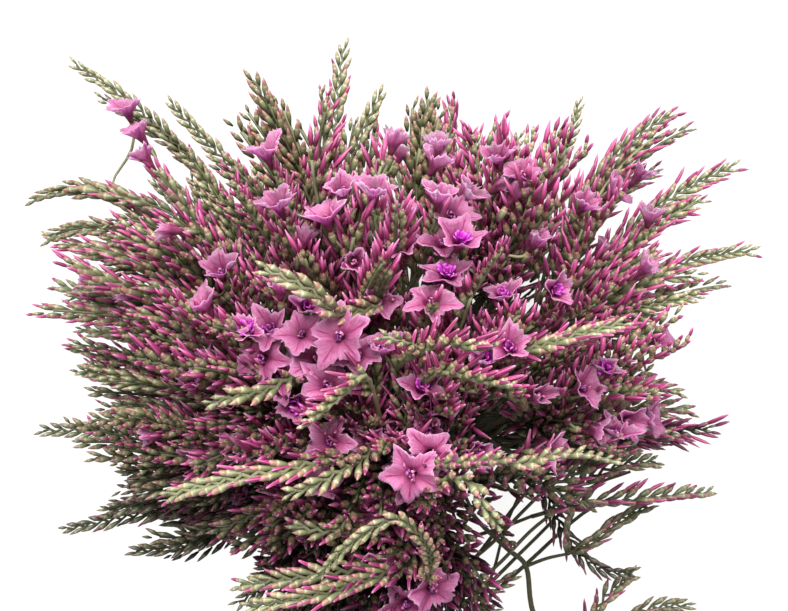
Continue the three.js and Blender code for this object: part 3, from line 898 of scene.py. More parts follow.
def habit_of(s, k, seed):
    """How a spike of spray k is built, by its place in the head."""
    x, y, z = s.ray
    rim = 1 - min(1.0, max(z, 0) * 1.6)  # 1 at the outline, 0 in the middle
    low = clip(0.4 - y)  # towards the stems
    left, right = clip(-1.5 * x), clip(1.5 * x - 0.3)
    scaly, painted_shade = SCALY_AND_PAINTED_SHADE[s.kind]
    # Painted shade: the colour is darker towards the stems, on the left and on the near right.
    painted_shade += 0.9 * low + 0.35 * left * (1 - 0.5 * rim) + 0.7 * low * max(left, right)
    painted_shade += 0.5 * clip(3 * x) * clip(1 - 2 * y)
    comb = 0.4 + 0.6 * vary(seed + 11) - 0.25 * rim - 0.35 * left + 0.3 * max(z - 0.5, 0)
    ripe = 1.05 + 0.3 * (vary(seed + 77) - 0.5) + 0.4 * (vary(k + 31) - 0.5)
    ripe += 0.3 * (1 - rim) * clip(y + 0.2) - 0.2 * low - 0.2 * rim - 0.3 * left - 0.25 * right
    # Spikes nearer the outline are younger and greener; their paler colour there is partly painted
    # backlight.
    looks = (
        clip(comb + 0.3 * (vary(k + 35) - 0.5)), 1.1 if s.kind == "flower" else ripe,
        0.2 * vary(seed + 21) + (0.05 + 0.5 * vary(k + 23)) * rim,
        0.88 + 0.4 * vary(seed + 5) + 0.14 * max(low, rim),
    )
    zone = scaly * s.tip
    return Habit(*(s.looks or looks), level_of(s), zone, min(painted_shade, DARKEST_PAINTED_SHADE), needle=1 - 0.2 * left)


for k, spray in enumerate(sprays):
    ray, full = spray_rays[k], spray_reach[k]
    line = np.linspace(SPRAY_FROM * full + JOINT_GAP, (SPIKES_TO + 0.02) * full, RACHIS_STEPS)
    radii = np.linspace(RACHIS_FOOT, RACHIS_TIP, RACHIS_STEPS)
    marks = wood_marks(RACHIS_STEPS, vary(k + 80), 0.3, 0.4)
    spray.wood.add(*stalk(FORK + ray * line[:, None], radii, 6, marks))
    mine = sorted((i for i, h in enumerate(home) if h == k), key=lambda i: spikes[i].ray @ ray)
    for place, i in enumerate(mine):
        s = spikes[i]
        share = SPIKES_FROM + (SPIKES_TO - SPIKES_FROM) * (place + 1) / len(mine)
        if s.kind == "inner":
            share = SPRAY_FROM + 0.02
        path, back = main_path(s, FORK + ray * share * full, k, i)
        if s.looks:
            upper = UP + back * 0.3 * (vary(i + 61) - 0.5)
        else:
            upper = UP - back * (0.4 + 0.6 * vary(k + 40) + 0.5 * vary(i + 40))
            upper = upper + np.cross(s.ray, AXIS) * 0.6 * (vary(i + 60) - 0.5)
        grow_spike(spray, path, upper, i, habit_of(s, k, i))

# The inside of the head is a thicket of thin dry twigs whose own spikes were lost.
for i, ray in enumerate(even_directions(TWIG_RAYS, turn=0.9)):
    k = nearest(ray, spray_rays)
    start = FORK + spray_rays[k] * spray_reach[k] * (0.1 + 0.3 * vary(i + 2000))
    if on_bare_side(ray) and i % 3:
        continue
    tip = FORK + ray * reach(ray) * (0.42 + 0.32 * vary(i + 2100))
    bent = (tip - start) * 0.3 + sway(i + 2200, 3) * 14
    path = bezier(start, start + bent, tip - bent, tip, TWIG_STEPS)
    path[:, 2] = np.maximum(path[:, 2], LOWEST_TWIG)
    radii = np.linspace(TWIG_FOOT, TWIG_TIP, TWIG_STEPS)
    # Their tone is pulled far down: painted shade inside the head.
    marks = wood_marks(TWIG_STEPS, vary(i) - 1.3, 0.3, 0.5)
    sprays[k].wood.add(*stalk(path, radii, 3, marks))

# ---- Front spikes --------------------------------------------------------------------------
# A few spikes lean out over the near side of the head. They are rooted in the sprays below
# them and are seen at their full length.

CURVE_STEPS = 6  # from each point of a spike to the next
# Points of each, in mm; then its comb habit, ripeness, size and the side that faces up.
FRONT_SPIKES = (
    (((-14, 81, 126), (-23, 80, 136), (-33, 79, 140), (-42, 77, 140), (-53, 74, 139)),
     0.0, 0.62, 1.0, (0, 0.25, 1)),
    (((-4, 83, 122), (-8, 81, 132), (-12, 80, 138), (-18, 77, 141), (-25, 75, 142)),
     0.45, 0.2, 0.95, (0, 0, 1)),
    (((-24, 100, 128), (-30, 98, 137), (-37, 97, 141), (-43, 95, 141)), 0.3, 0.25, 1.0, (0, 0.5, 1)),
    (((-6, 100, 131), (-11, 98, 138), (-16, 94, 142), (-21, 90, 143)),
     0.9, 0.75, 0.95, (-1, 0.5, 0.6)),
    (((1, 102, 124), (7, 107, 134), (13, 109, 139), (18, 108, 141), (24, 109, 141)),
     1.0, 0.9, 0.95, (0, 1, 0.5)),
    (((11, 103, 124), (6, 108, 134), (1, 110, 139), (-4, 111, 140)), 0.6, 0.3, 0.9, (0, 0.2, 1)),
    (((8, 98, 122), (11, 102, 134), (18, 101, 139), (23, 100, 141), (29, 99, 141)),
     1.0, 0.9, 0.95, (0, 1, 0.4)),
    (((3, 74, 122), (9, 79, 132), (18, 81, 137), (25, 82, 139), (30, 81, 139), (36, 83, 139),
      (45, 83, 138), (53, 81, 136)), 0.7, 0.3, 0.85, (0, 1, 0.6)),
    (((7, 69, 122), (10, 76, 134), (14, 78, 138), (18, 77, 139), (20, 73, 139), (22, 70, 138),
      (25, 66, 136)), 0.9, 0.35, 1.0, (0, 0, 1)),
    (((8, 50, 120), (9, 56, 128), (7, 63, 136), (2, 69, 141), (-2, 69, 142), (-7, 66, 142),
      (-12, 62, 141), (-18, 55, 139)), 0.25, 0.2, 0.78, (0, -0.3, 1)),
    (((4, 51, 112), (-4, 50, 122), (-13, 49, 128), (-22, 48, 132), (-36, 46, 132)),
     0.05, 0.62, 1.0, (0, 0.3, 1)),
    (((2, 54, 110), (-6, 52, 120), (-15, 52, 126), (-28, 51, 128), (-39, 49, 126)),
     0.3, 0.6, 1.0, (0, 0.6, 1)),
    (((-4, 58, 112), (-12, 63, 124), (-15, 63, 128), (-21, 64, 130), (-26, 66, 130)),
     0.2, 0.5, 0.95, (0, 0.2, 1)),
    (((-2, 119, 117), (-12, 116, 132), (-18, 121, 139), (-24, 124, 141), (-31, 127, 141)),
     0.15, 0.25, 1.15, (0, -0.2, 1)),
    (((23, 101, 107), (28, 106, 122), (36, 108, 128), (44, 111, 132), (56, 114, 132)),
     0.1, 0.75, 1.0, (-0.2, 0.5, 1)),
    (((21, 97, 102), (30, 104, 117), (39, 108, 124), (48, 111, 126), (55, 112, 124)),
     0.2, 0.8, 1.0, (0, 0.8, 1)),
)


def smooth_line(points, steps):
    """A curve through the points (Catmull-Rom)."""
    p = np.array(points, float)
    p = np.concatenate([[2 * p[0] - p[1]], p, [2 * p[-1] - p[-2]]])
    out = []
    for i in range(1, len(p) - 2):
        t = np.linspace(0, 1, steps, endpoint=i == len(p) - 3)[:, None]
        a, b, c, d = p[i - 1 : i + 3]
        out.append(
            0.5 * (2 * b + (c - a) * t + (2 * a - 5 * b + 4 * c - d) * t**2
                   + (3 * b - a - 3 * c + d) * t**3)
        )
    return np.concatenate(out)


def spray_near(point):
    return nearest(unit(np.array(point, float) - FORK), spray_rays)


for i, (points, comb, ripe, size, upper) in enumerate(FRONT_SPIKES):
    k = spray_near(points[0])
    root = FORK + spray_rays[k] * 0.55 * spray_reach[k]
    path = smooth_line((root, *points), CURVE_STEPS)
    zone = lengths_along(path[CURVE_STEPS - 1 :])[-1]
    # A touch of painted shade.
    habit = Habit(comb, ripe + 0.15, 0.4, size, FINEST, zone, painted_shade=0.05, needle=0.85)
    grow_spike(sprays[k], path, np.array(upper, float), 3000 + i, habit)

# ---- Low branches --------------------------------------------------------------------------
# On the near right, below the head, thin dark branches fork off bare and carry only a few
# young spikes.

# Points of each branch, in mm, and its radius at both ends.
LOW_BRANCHES = (
    (((3, -24, 37), (22, -16, 50), (42, -6, 62), (48, 6, 67), (43, 24, 70), (41, 37, 72), (35, 43, 74),
      (26, 52, 77), (18, 62, 78)), 1.0, 0.7),
    (((41, 37, 72), (47, 40, 74), (53, 42, 76)), 0.6, 0.45),
    (((8, 8, 58), (15, 16, 62), (24, 28, 67), (33, 39, 74), (41, 50, 80), (49, 58, 84)), 0.7, 0.5),
    (((10, 22, 66), (17, 33, 72), (29, 46, 80), (37, 57, 87), (43, 65, 92)), 0.7, 0.5),
    (((6, 30, 64), (20, 44, 72), (33, 50, 76), (41, 55, 82)), 0.7, 0.5),
    (((42, -6, 62), (52, 3, 68), (59, 14, 72)), 0.6, 0.45),
    (((42, -6, 62), (56, 4, 66), (65, 12, 67)), 0.6, 0.45),
    (((6, 4, 60), (18, 24, 60), (32, 44, 62), (44, 60, 64), (58, 72, 64)), 0.8, 0.5),
    (((4, 12, 60), (14, 34, 62), (26, 54, 66), (36, 70, 68)), 0.8, 0.5),
    (((8, 0, 56), (24, 16, 58), (44, 34, 58), (62, 50, 58), (78, 58, 58)), 0.8, 0.5),
    (((12, 10, 58), (22, 18, 64), (30, 32, 70), (34, 50, 76), (40, 66, 80)), 0.6, 0.45),
    (((10, 16, 62), (26, 26, 66), (42, 42, 68), (60, 60, 70), (74, 66, 70)), 0.7, 0.45),
)
# Points of each spike, in mm; then its comb habit, ripeness, size and the side that faces up.
LOW_SPIKES = (
    (((3.5, 86, 118), (2, 94, 121), (1, 101, 123), (-1, 107, 124)), 0.2, 0.6, 0.8, (0, 0.3, 1)),
    (((17, 86, 116), (15, 93, 120), (11, 99, 122), (9, 105, 123)), 0.2, 0.6, 0.8, (0, 0.3, 1)),
    (((8, 84, 114), (6, 92, 118), (5, 98, 120), (3, 103, 121)), 0.3, 0.9, 0.85, (0.3, 0.3, 1)),
    (((-6, 84, 114), (-6, 92, 118), (-5, 98, 121), (-4, 103, 122)), 0.3, 0.9, 0.85, (0.3, 0.3, 1)),
    (((53, 42, 76), (52, 50, 80), (53, 57, 82)), 0.0, 0.3, 0.8, (1, 0, 0.6)),
    (((53, 42, 76), (60, 46, 77), (65, 50, 77), (72, 54, 76), (79, 57, 75)),
     0.0, 0.35, 0.9, (0, 0, 1)),
    (((41, 55, 82), (54, 59, 84), (67, 60, 84), (81, 61, 82), (97, 61, 77)),
     0.5, 0.7, 1.0, (0, 1, 0.7)),
    (((59, 14, 72), (63, 25, 74), (67, 30, 74), (75, 35, 72)), 0.2, 0.6, 0.9, (0, 0.3, 1)),
    (((65, 12, 67), (77, 22, 70), (86, 24, 70), (93, 24, 70)), 0.1, 0.2, 0.9, (0, 0.6, 1)),
    (((49, 58, 84), (58, 67, 85), (68, 71, 84), (80, 71, 80)), 0.3, 0.5, 0.95, (0, 0.6, 1)),
    (((43, 65, 92), (52, 70, 92), (62, 75, 90), (72, 76, 86)), 0.5, 0.7, 0.95, (0, 0.8, 1)),
    (((24, 28, 67), (31, 30, 70), (38, 34, 70)), 0.0, 0.5, 0.8, (0, 0.3, 1)),
    (((20, 22, 64), (26, 20, 66), (33, 22, 66)), 0.0, 0.4, 0.8, (0, 0.3, 1)),
)

for i, (points, thick, thin) in enumerate(LOW_BRANCHES):
    path = smooth_line(points, 5)
    radii = np.linspace(thick, thin, len(path))
    marks = wood_marks(len(path), vary(i + 5) - 0.9, 0.2, 0.4)
    sprays[spray_near(points[-1])].wood.add(*stalk(path, radii, 7, marks, ridges=STEM_RIBS))
for i, (points, comb, ripe, size, upper) in enumerate(LOW_SPIKES):
    path = smooth_line(points, CURVE_STEPS)
    # Painted shade darkens these low spikes.
    habit = Habit(comb, ripe, 0.3, 1.15 * size, FINE, lengths_along(path)[-1], painted_shade=0.5)
    grow_spike(sprays[spray_near(points[-1])], path, np.array(upper, float), 3500 + i, habit)

# ---- Open flowers --------------------------------------------------------------------------
# An open flower is a papery calyx: a thin tube that flares into a five-pointed funnel, pleated
# along dark ribs, with a ragged edge. The purple corolla in it has shrivelled to a tuft.

CALYX_POINT, CALYX_NOTCH, CALYX_THROAT, CALYX_WALL = 7.6, 5.4, 1.3, 0.12
CALYX_TUBE_LENGTH = 4.5
CALYX_TUBE = ((0.4, 0.0), (0.9, 2.5), (CALYX_THROAT, CALYX_TUBE_LENGTH))  # radius and height
LIMB_STEPS, FEWER_LIMB_STEPS = (0.22, 0.5, 0.78, 1.0), (0.3, 0.68, 1.0)
FACE_HEIGHT = 5.6  # from a flower's foot to the middle of its face
HUSK_LENGTH, HUSK_HALF = 5.0, 1.05  # the bracts round its foot
SMALLEST_FLOWER = 0.84  # a half-opened one, against one that is wide open
LOOKS_UP = np.array((0.0, 0.1, 0.5))
DEEP_RAYS, AROUND_RAYS = 160, 76
# Rims of the open flowers of the near side: right, forward, up from the fork, then how wide
# open (0 to 1) and how fresh the corolla is (0 to 1).
NEAR_FLOWERS = (
    (-13, 43, 75, 1.0, 0.1), (-19, 37, 66, 0.95, 0.1), (-29, 32, 62, 0.9, 0.1),
    (-33, 37, 64, 0.95, 0.2), (-16, 31, 69, 0.85, 0.2), (-31, 44, 63, 0.6, 0.6),
    (-21, 50, 69, 0.2, 0.7), (-4, 51, 63, 0.35, 0.1), (-37, 44, 64, 0.5, 0.95),
    (-25, 25, 62, 0.45, 1.0), (-28, 55, 66, 0.4, 0.2),
    (-17, 72, 65, 0.42, 0.1), (-13, 79, 63, 0.3, 0.1), (16, 66, 70, 0.5, 1.0),
    (13, 58, 68, 0.7, 0.9), (11, 91, 56, 0.2, 0.9), (33, 84, 57, 0.6, 0.1), (31, 79, 56, 0.3, 0.2),
    (9, 14, 71, 0.9, 0.3), (4, 10, 75, 0.95, 0.2), (21, 14, 66, 0.45, 0.1), (40, 12, 58, 0.35, 0.1),
    (28, 40, 69, 0.6, 0.6), (22, 37, 68, 0.25, 0.9), (54, 34, 58, 0.2, 0.95), (37, 27, 60, 0.3, 0.1),
    (7, 30, 66, 0.5, 0.9), (53, 17, 54, 0.35, 0.7), (59, 17, 52, 0.4, 0.3), (63, 19, 48, 0.45, 0.1),
    (-79, 108, 25, 0.5, 0.1), (-74, 100, 30, 0.4, 0.1),
    (-65, 15, 48, 0.2, 0.9), (-48, 50, 62, 0.4, 0.1), (10, -22, 60, 0.85, 0.1),
    (3, -27, 57, 0.75, 0.2), (-6, -17, 58, 0.6, 0.3), (-52, 30, 58, 0.3, 0.6), (-3, 40, 70, 0.4, 0.2),
    (-60, 70, 50, 0.3, 0.1), (-88, 58, 30, 0.35, 0.1),
    (0, 93, 54, 0.2, 0.1), (19, 79, 57, 0.35, 0.1), (15, 73, 61, 0.6, 0.2), (-1, 66, 59, 0.3, 0.1),
    (12, 66, 63, 0.6, 0.2), (11, 87, 57, 0.4, 0.1), (27, 89, 53, 0.35, 0.1), (28, 81, 55, 0.3, 0.1),
    (53, 78, 41, 0.3, 0.2), (74, 76, 30, 0.2, 0.1), (64, 83, 30, 0.5, 0.1),
    (28, 53, 57, 0.4, 0.7), (44, 54, 45, 0.3, 0.8), (2, 65, 62, 0.6, 0.3), (-49, 35, 54, 0.3, 0.7),
    (-45, 59, 56, 0.3, 0.1), (-41, 12, 55, 0.4, 0.2), (13, 23, 55, 0.6, 0.2),
    (9, 18, 58, 0.4, 0.2), (-6, 15, 58, 0.5, 0.2), (-74, 53, 41, 0.2, 0.1),
    (-10, 61, 60, 0.25, 0.1), (3, 73, 60, 0.3, 0.1), (-23, 67, 60, 0.2, 0.1), (37, 67, 55, 0.3, 0.1),
)


def petal_finish():
    finish = Finish("calyx_paper", roughness=0.6, specular=0.25)
    finish.shader.inputs["Subsurface Weight"].default_value = 0.7
    finish.shader.inputs["Subsurface Scale"].default_value = 0.001
    finish.shader.inputs["Subsurface Radius"].default_value = (0.9, 0.6, 0.95)
    # Darker towards the throat: partly the tube's own colour, partly painted shade.
    plain = finish.ramp(
        finish.x, (0.0, 104, 46, 70), (0.1, 120, 42, 82), (0.3, 146, 70, 110),
        (0.6, 170, 94, 134), (0.9, 176, 108, 148), (1.0, 188, 128, 162),
    )
    # A rib runs to each point, with finer veins that fork off it on both sides.
    sums = finish.sums
    rib = sums("MULTIPLY", finish.fade(finish.z, 0.11, 0.03), finish.fade(finish.x, 1.1, 0.6))
    slanted = sums("SUBTRACT", finish.z, sums("MULTIPLY", finish.x, 0.42))
    comb = sums("ABSOLUTE", sums("SINE", sums("MULTIPLY", slanted, 14.0)))
    fine = sums("MULTIPLY", finish.fade(comb, 0.6, 0.05), 0.46)
    veins = sums("MAXIMUM", sums("MULTIPLY", rib, 0.95), fine)
    faded = sums("MULTIPLY", veins, finish.fade(finish.x, 1.2, 0.6))
    veined = finish.mix(faded, plain, srgb(132, 26, 84))
    return finish.dry(veined, finish.y, spread=0.45, scale=900.0, blotch=0.6, bump=1.0)


def corolla_finish():
    finish = Finish("corolla_tuft", roughness=0.55)
    dried = finish.ramp(
        finish.y, (0.0, 142, 64, 134), (0.4, 154, 74, 142), (0.55, 176, 92, 138),
        (1.0, 196, 132, 160),
    )
    fresh = finish.ramp(finish.x, (0.0, 140, 26, 128), (0.7, 176, 40, 168), (1.0, 212, 84, 202))
    tongues = finish.mix(finish.z, dried, fresh)
    return finish.dry(tongues, finish.y, spread=0.7, scale=1500.0, blotch=0.5, bump=0.6)


calyx_paper = petal_finish()
corolla_tuft = corolla_finish()


def calyx(foot, axis, side, beside, opening, seed, size, steps):
    """A funnel with five lobes: up its outside, over its ragged edge and down its inside."""
    theta = np.arange(steps) * FULL_TURN / steps
    lobe = theta * 5 / FULL_TURN
    off_rib = np.abs(lobe - np.round(lobe)) * 2  # 0 on a rib, 1 in a notch
    which = np.round(lobe).astype(int) % 5
    lift = sway(seed + 20, 5)[which]
    ragged = sway(seed * 3 + 50, steps, 7)
    torn = (sway(seed * 5 + 60, steps, 3) > 0.36) * (off_rib > 0.3)
    teeth = 0.2 * np.where(np.arange(steps) % 2, 1, -1) * (off_rib > 0.15)
    # Straight edges from each point to the notches beside it.
    long = 1 + 0.34 * sway(seed + 30, 5)[which]
    point, turn = (CALYX_POINT - 0.8 * max(0.7 - opening, 0)) * long, math.pi / 5
    notch = (CALYX_NOTCH + 1.1 * max(0.8 - opening, 0)) * (0.92 + 0.18 * vary(seed + 12))
    slant = point * np.sin(turn * off_rib) + notch * np.sin(turn * (1 - off_rib))
    edge = point * notch * math.sin(turn) / slant
    edge = edge + (1.4 - 0.6 * opening) * ragged + teeth * (2.2 - opening) - 0.7 * torn
    rise = math.radians(74 - 68 * opening)
    wider = 0.5 * (1 - opening)
    throat = CALYX_THROAT * (1 + wider)
    rows = [(r * (1 + wider * h / CALYX_TUBE_LENGTH), h, 0.0) for r, h in CALYX_TUBE]
    for t in LIMB_STEPS if steps > 35 else FEWER_LIMB_STEPS:
        limb = (edge - throat) * t
        pleat = (1.7 * off_rib - 0.7 + 0.2 * np.cos(20 * theta)) * t
        warp = 3.6 * t * t * lift * (1 - 0.5 * off_rib) + 0.9 * t * np.sin(2 * theta + seed)
        lean = (2.6 * lift * (1 - off_rib) + 0.7 * np.cos(3 * theta + seed)) * t * math.sin(rise)
        r = throat + limb * math.cos(rise) - pleat * math.sin(rise) * 1.1 + lean
        h = CALYX_TUBE_LENGTH + limb * math.sin(rise)
        rows.append((r, h + (pleat + warp + 0.25 * ragged * t) * math.cos(rise), t))
    inner = [(r - 0.05, h + CALYX_WALL, t) for r, h, t in rows[:1:-1]]
    inner[0] = (rows[-1][0] - 0.02, *inner[0][1:])
    # Pressed together from its sides, the more the less it is open.
    folded = 0.5 * vary(seed + 14) * min(1.3 - opening, 1)
    rings, marks = [], []
    for r, h, t in rows + inner + [(0.7, 2.6, 0.0), (0.3, 2.0, 0.0)]:
        r, h = np.broadcast_to(r, steps)[:, None], np.broadcast_to(h, steps)[:, None]
        round_about = turned(theta, beside, side * (1 - folded * min(2 * t, 1)))
        rings.append(foot + size * (h * axis + r * round_about))
        marks.append(marked(t, vary(seed + 9), off_rib))
    return np.array(rings)[None], np.array(marks)[None]


def corolla(foot, axis, side, beside, fresh, seed, size, count):
    """Crumpled tongues that stand in the throat."""
    turn = np.arange(count) * 2.4 + seed
    spread = (1.25 + 1.5 * sway(seed + 70, count)) * (0.6 + 0.8 * fresh)
    tall = 0.5 + sway(seed + 90, count)
    radial = turned(turn, beside, side)
    flat = np.cross(radial, axis)
    ring_turn = np.arange(4) * math.pi / 2
    curl = 0.35 + 0.85 * fresh
    shape = ((0, 0.3, 0.15, 3.2), (0.45, 0.8, 0.6, 4.5), (0.8, 1.1, 0.95, 5.1), (1, 0.7, curl, 5.0))
    rings = []
    for place, width, lean, rise in shape:
        kink = sway(seed + place * 31, count, 5)
        height = rise + (0.7 * tall + 1.5 * fresh + 0.6 * kink) * place
        centre = foot + size * (height[:, None] * axis + (spread * lean)[:, None] * radial)
        tilt = unit(flat + 0.8 * kink[:, None] * axis) * width * (0.34 + 0.42 * fresh)
        rings.append(centre[:, None] + size * turned(ring_turn, tilt[:, None], 0.1 * radial[:, None]))
    places = np.array([place for place, *_ in shape])[:, None]
    return np.stack(rings, 1), marked(places, tall[:, None, None], fresh)


def open_flower(calyxes, corollas, foot, axis, opening, fresh, seed, size, steps):
    """One calyx and its corolla, standing on its foot along its axis."""
    side, beside = across(axis, np.array([vary(seed) - 0.5, 0.9, vary(seed + 1) - 0.5]))
    calyxes.add(*calyx(foot, axis, side, beside, opening, seed, size, steps))
    count = 13 if fresh > 0.65 else 8 if steps > 20 else 5
    corollas.add(*corolla(foot, axis, side, beside, fresh, seed, size, count))


# How wide open each of the flowers at the ends of main spikes is.
OPENINGS = (0.5, 0.45, 0.45, 0.3, 0.9, 1.0, 0.95, 0.85, 0.95, 0.55, 0.6, 0.4, 0.4, 0.4)
for s in sorted((s for s in main if s.kind == "flower"), key=lambda s: s.flower):
    funnel, tuft = Skins(), Skins()
    foot = FORK + s.ray * (s.tip + JOINT_GAP)
    opening = OPENINGS[s.flower]
    size = SMALLEST_FLOWER + (1 - SMALLEST_FLOWER) * opening
    fresh, seed = 0.25 * vary(s.flower), 400 + s.flower * 13
    open_flower(funnel, tuft, foot, s.ray, opening, fresh, seed, size, 40)
    name = f"flower_{s.flower + 1:02d}"
    funnel.piece(f"{name}_calyx", calyx_paper, "petal", [name])
    tuft.piece(f"{name}_corolla", corolla_tuft, "petal")


def seat_flower(face, opening, fresh, seed, size, steps):
    """Stands a flower on a short stalk of its own from the nearest spikelet."""
    face = np.array(face, float)
    aim = unit(unit(face) + LOOKS_UP * (0.55 + opening))
    aim = unit(aim + (1.4 - 0.9 * opening) * sway(seed + 3, 3))
    foot = FORK + face - aim * FACE_HEIGHT * size
    best = int(np.argmin(np.linalg.norm(seat_places - foot + aim * 3, axis=1)))
    start, along = seats[best]
    spray, tone = sprays[seat_spray[best]], vary(seed + 6)
    way = np.linalg.norm(foot - start)
    path = bezier(start, start + along * 0.3 * way, foot - aim * 0.5 * way, foot + aim, 8)
    spray.wood.add(*stalk(path, np.linspace(0.36, 0.5, 8), 5, wood_marks(8, tone, 0.1, 0.1)))
    out = square_to(aim, np.array((0.3, 0.2, 0.9)))[None]
    husk = (foot - aim * 3.2)[None]
    one = np.ones(1)
    spray.bracts.add(*bracts(husk, aim[None], out, HUSK_LENGTH * one, HUSK_HALF * one, one < 0,
                             tone * one, 0.2 * one, 0 * out, FINE))
    open_flower(spray.calyxes, spray.corollas, foot, aim, opening, fresh, seed, size, steps)


seats = [seat for spray in sprays for seat in spray.seats]
seat_spray = [k for k, spray in enumerate(sprays) for _ in spray.seats]
seat_places = np.array([seat[0] for seat in seats])
for i, (x, y, z, opening, fresh) in enumerate(NEAR_FLOWERS):
    size = SMALLEST_FLOWER + (1.1 - SMALLEST_FLOWER) * opening
    seat_flower((x, y, z), opening, fresh, 800 + 17 * i, size, 50 if opening > 0.65 else 35)

# Half-hidden ones deeper in the near side.
for i, ray in enumerate(even_directions(DEEP_RAYS, turn=1.9)):
    if ray[2] > 0.5 and ray[0] < 0.3 and ray[1] < 0.5 and not on_bare_side(ray):
        rim = ray * reach(ray) * (0.7 + 0.16 * vary(i + 640))
        seat_flower(rim, 0.25 + 0.6 * vary(i + 650), 0.6 * vary(i + 660), 2600 + 7 * i, 0.9, 15)

# And some all round the rest of the head, but not where it is pressed short.
for i, ray in enumerate(even_directions(AROUND_RAYS, turn=0.6)):
    full = reach(ray)
    if not near_side(ray) and full > 62 and not on_bare_side(ray):
        rim = ray * full * (0.7 + 0.14 * vary(i + 600))
        opening = 0.1 + 0.8 * vary(i + 610) ** 2
        seat_flower(rim, opening, vary(i + 620) ** 2, 1600 + 7 * i, 0.7 + 0.25 * opening, 20)

# With its flowers in place each spray is whole.
for k, spray in enumerate(sprays):
    name = f"spray_{k + 1:02d}"
    spray.bracts.piece(f"{name}_bracts", bract_scales, "bract", [name])
    spray.buds.piece(f"{name}_buds", bud_calyx, "petal")
    spray.wood.piece(f"{name}_stalks", stem_bark, "stem")
    if spray.calyxes.count():
        spray.calyxes.piece(f"{name}_calyxes", calyx_paper, "petal")
        spray.corollas.piece(f"{name}_corollas", corolla_tuft, "petal")

# ---- Tie -----------------------------------------------------------------------------------
# Two-ply jute twine, wound seven times round the nine stems where they are closest together and
# knotted on top. It is pulled tight, and nothing else holds the bunch.

TIE_RADIUS, TIE_TURNS, TWINE_PITCH, TWINE_HALF = 6.75, 7, 1.24, 0.34
STEPS_PER_TURN, KNOT_STEPS = 48, 22


def twine_finish():
    finish = Finish("jute_twine", roughness=0.9, specular=0.15)
    tan = finish.ramp(finish.x, (0.0, 150, 122, 84), (0.5, 184, 156, 114), (1.0, 160, 130, 92))
    return finish.dry(tan, finish.y, spread=0.4, scale=2600.0, blotch=0.8, bump=1.0)


def two_ply(skins, middle, twist, a, b, tones):
    """Two strands that wind round each other along a middle line, in the plane of a and b."""
    for ply, tone in zip((0, math.pi), tones):
        twisted = middle + turned(twist + ply, a, b) * TWINE_HALF * 0.9
        marks = marked(0.5 + 0.5 * np.cos((twist + ply) * 3), tone, 0 * twist)
        skins.add(*stalk(twisted, np.full(len(twist), TWINE_HALF), 6, marks))


def make_tie():
    skins = Skins()
    centre = np.array((0.0, TIE_Y, TIE_Z))
    right = np.array((1.0, 0, 0))
    out = np.array((0, -math.sin(TIE_TILT), math.cos(TIE_TILT)))
    turn = np.linspace(0, TIE_TURNS * FULL_TURN, TIE_TURNS * STEPS_PER_TURN)
    circle = turned(turn, out, right)
    drift = (turn / FULL_TURN - TIE_TURNS / 2)[:, None] * TWINE_PITCH * TIE_ALONG
    twist = turn * TIE_RADIUS / 1.1
    tones = (0.3, 0.3 + math.pi / 8)
    two_ply(skins, centre + circle * TIE_RADIUS + drift, twist, circle, TIE_ALONG, tones)
    # The knot: two short loops pulled tight across the windings.
    t = np.linspace(-1, 1, KNOT_STEPS)[:, None]
    for lean in (0.9, -0.9):
        over = centre + out * (TIE_RADIUS + 0.4 + 0.7 * np.cos(t * 1.5))
        over = over + right * t * 2.6 * lean + TIE_ALONG * t * 3.0
        two_ply(skins, over, t[:, 0] * 11, out, right, (0.5, 0.5))
    skins.piece("tie_twine", twine_finish(), "twine", ["tie"])


make_tie()

# ---- Surface, light and camera -------------------------------------------------------------
# The bunch lies on a plain pale floor and is seen from straight above. A soft window beyond its
# head lights it, and the floor has an even light of its own.

FLOOR_SIZE, FLOOR_COLOUR, FLOOR_ROUGHNESS = 6.0, (0.9, 0.9, 0.89, 1), 0.9
WORLD_COLOUR, WORLD_STRENGTH = (1, 1, 1, 1), 0.57
CAMERA_HEIGHT = 270  # above the dome's centre
FOCAL_PIXELS, PICTURE_WIDTH, SENSOR_WIDTH = 837, 788, 36.0


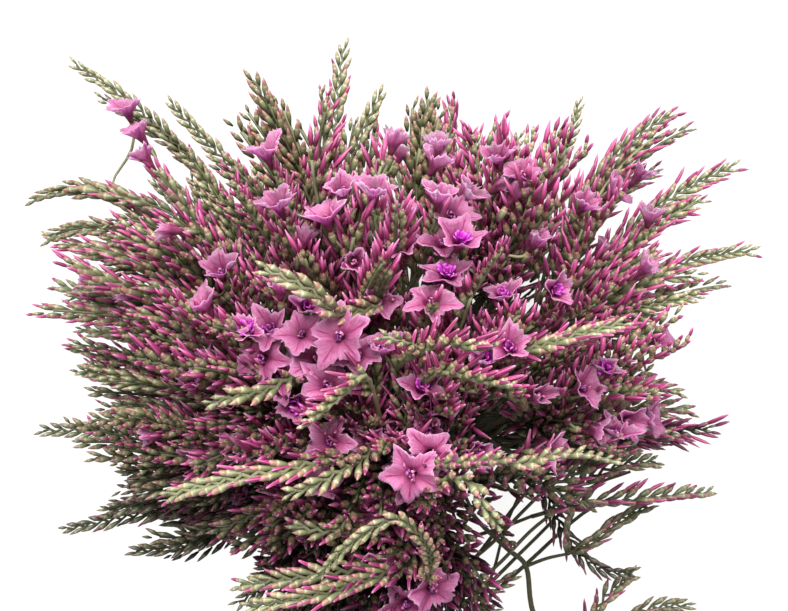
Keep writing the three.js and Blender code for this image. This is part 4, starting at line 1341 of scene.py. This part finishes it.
def plain_floor():
    bpy.ops.mesh.primitive_plane_add(size=FLOOR_SIZE)
    floor = bpy.context.object
    floor.name = "floor"
    finish = bpy.data.materials.new("floor")
    finish.use_nodes = True
    shader = finish.node_tree.nodes["Principled BSDF"]
    shader.inputs["Base Color"].default_value = FLOOR_COLOUR
    shader.inputs["Roughness"].default_value = FLOOR_ROUGHNESS
    floor.data.materials.append(finish)
    floor.visible_diffuse = False
    floor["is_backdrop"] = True
    return floor


def soft_light(name, place, aim, size, power):
    lamp = bpy.data.lights.new(name, "AREA")
    lamp.shape, lamp.size, lamp.energy = "DISK", size, power
    held = bpy.data.objects.new(name, lamp)
    bpy.context.scene.collection.objects.link(held)
    held.location = place
    x, y, z = unit(np.array(aim) - np.array(place))
    held.rotation_euler = (math.acos(-z), 0, math.atan2(y, x) - math.pi / 2)
    return held


def group_of(name, objects):
    group = bpy.data.collections.new(name)
    for thing in objects:
        group.objects.link(thing)
    return group


floor = plain_floor()
window = soft_light("window", (-0.02, 0.44, 0.52), aim=(0, 0.1, 0.08), size=0.42, power=6.7)
window.light_linking.receiver_collection = group_of("bunch", list(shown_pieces()))
# The floor's own light, in which the bunch throws no shadow.
wash = soft_light("wash", (-0.1, 0.5, 1.3), aim=(0, 0.3, 0), size=0.8, power=16)
only_floor = group_of("floor_only", [floor])
wash.light_linking.receiver_collection = only_floor
wash.light_linking.blocker_collection = only_floor

world = bpy.data.worlds.new("studio")
bpy.context.scene.world = world
world.use_nodes = True
background = world.node_tree.nodes["Background"]
background.inputs["Color"].default_value = WORLD_COLOUR
background.inputs["Strength"].default_value = WORLD_STRENGTH

lens = bpy.data.cameras.new("camera")
lens.sensor_width = SENSOR_WIDTH
lens.lens = SENSOR_WIDTH * FOCAL_PIXELS / PICTURE_WIDTH
camera = bpy.data.objects.new("camera", lens)
bpy.context.scene.collection.objects.link(camera)
camera.location = (DOME_CENTRE + UP * CAMERA_HEIGHT) * MM
bpy.context.scene.camera = camera
bpy.context.scene.view_settings.view_transform = "Standard"
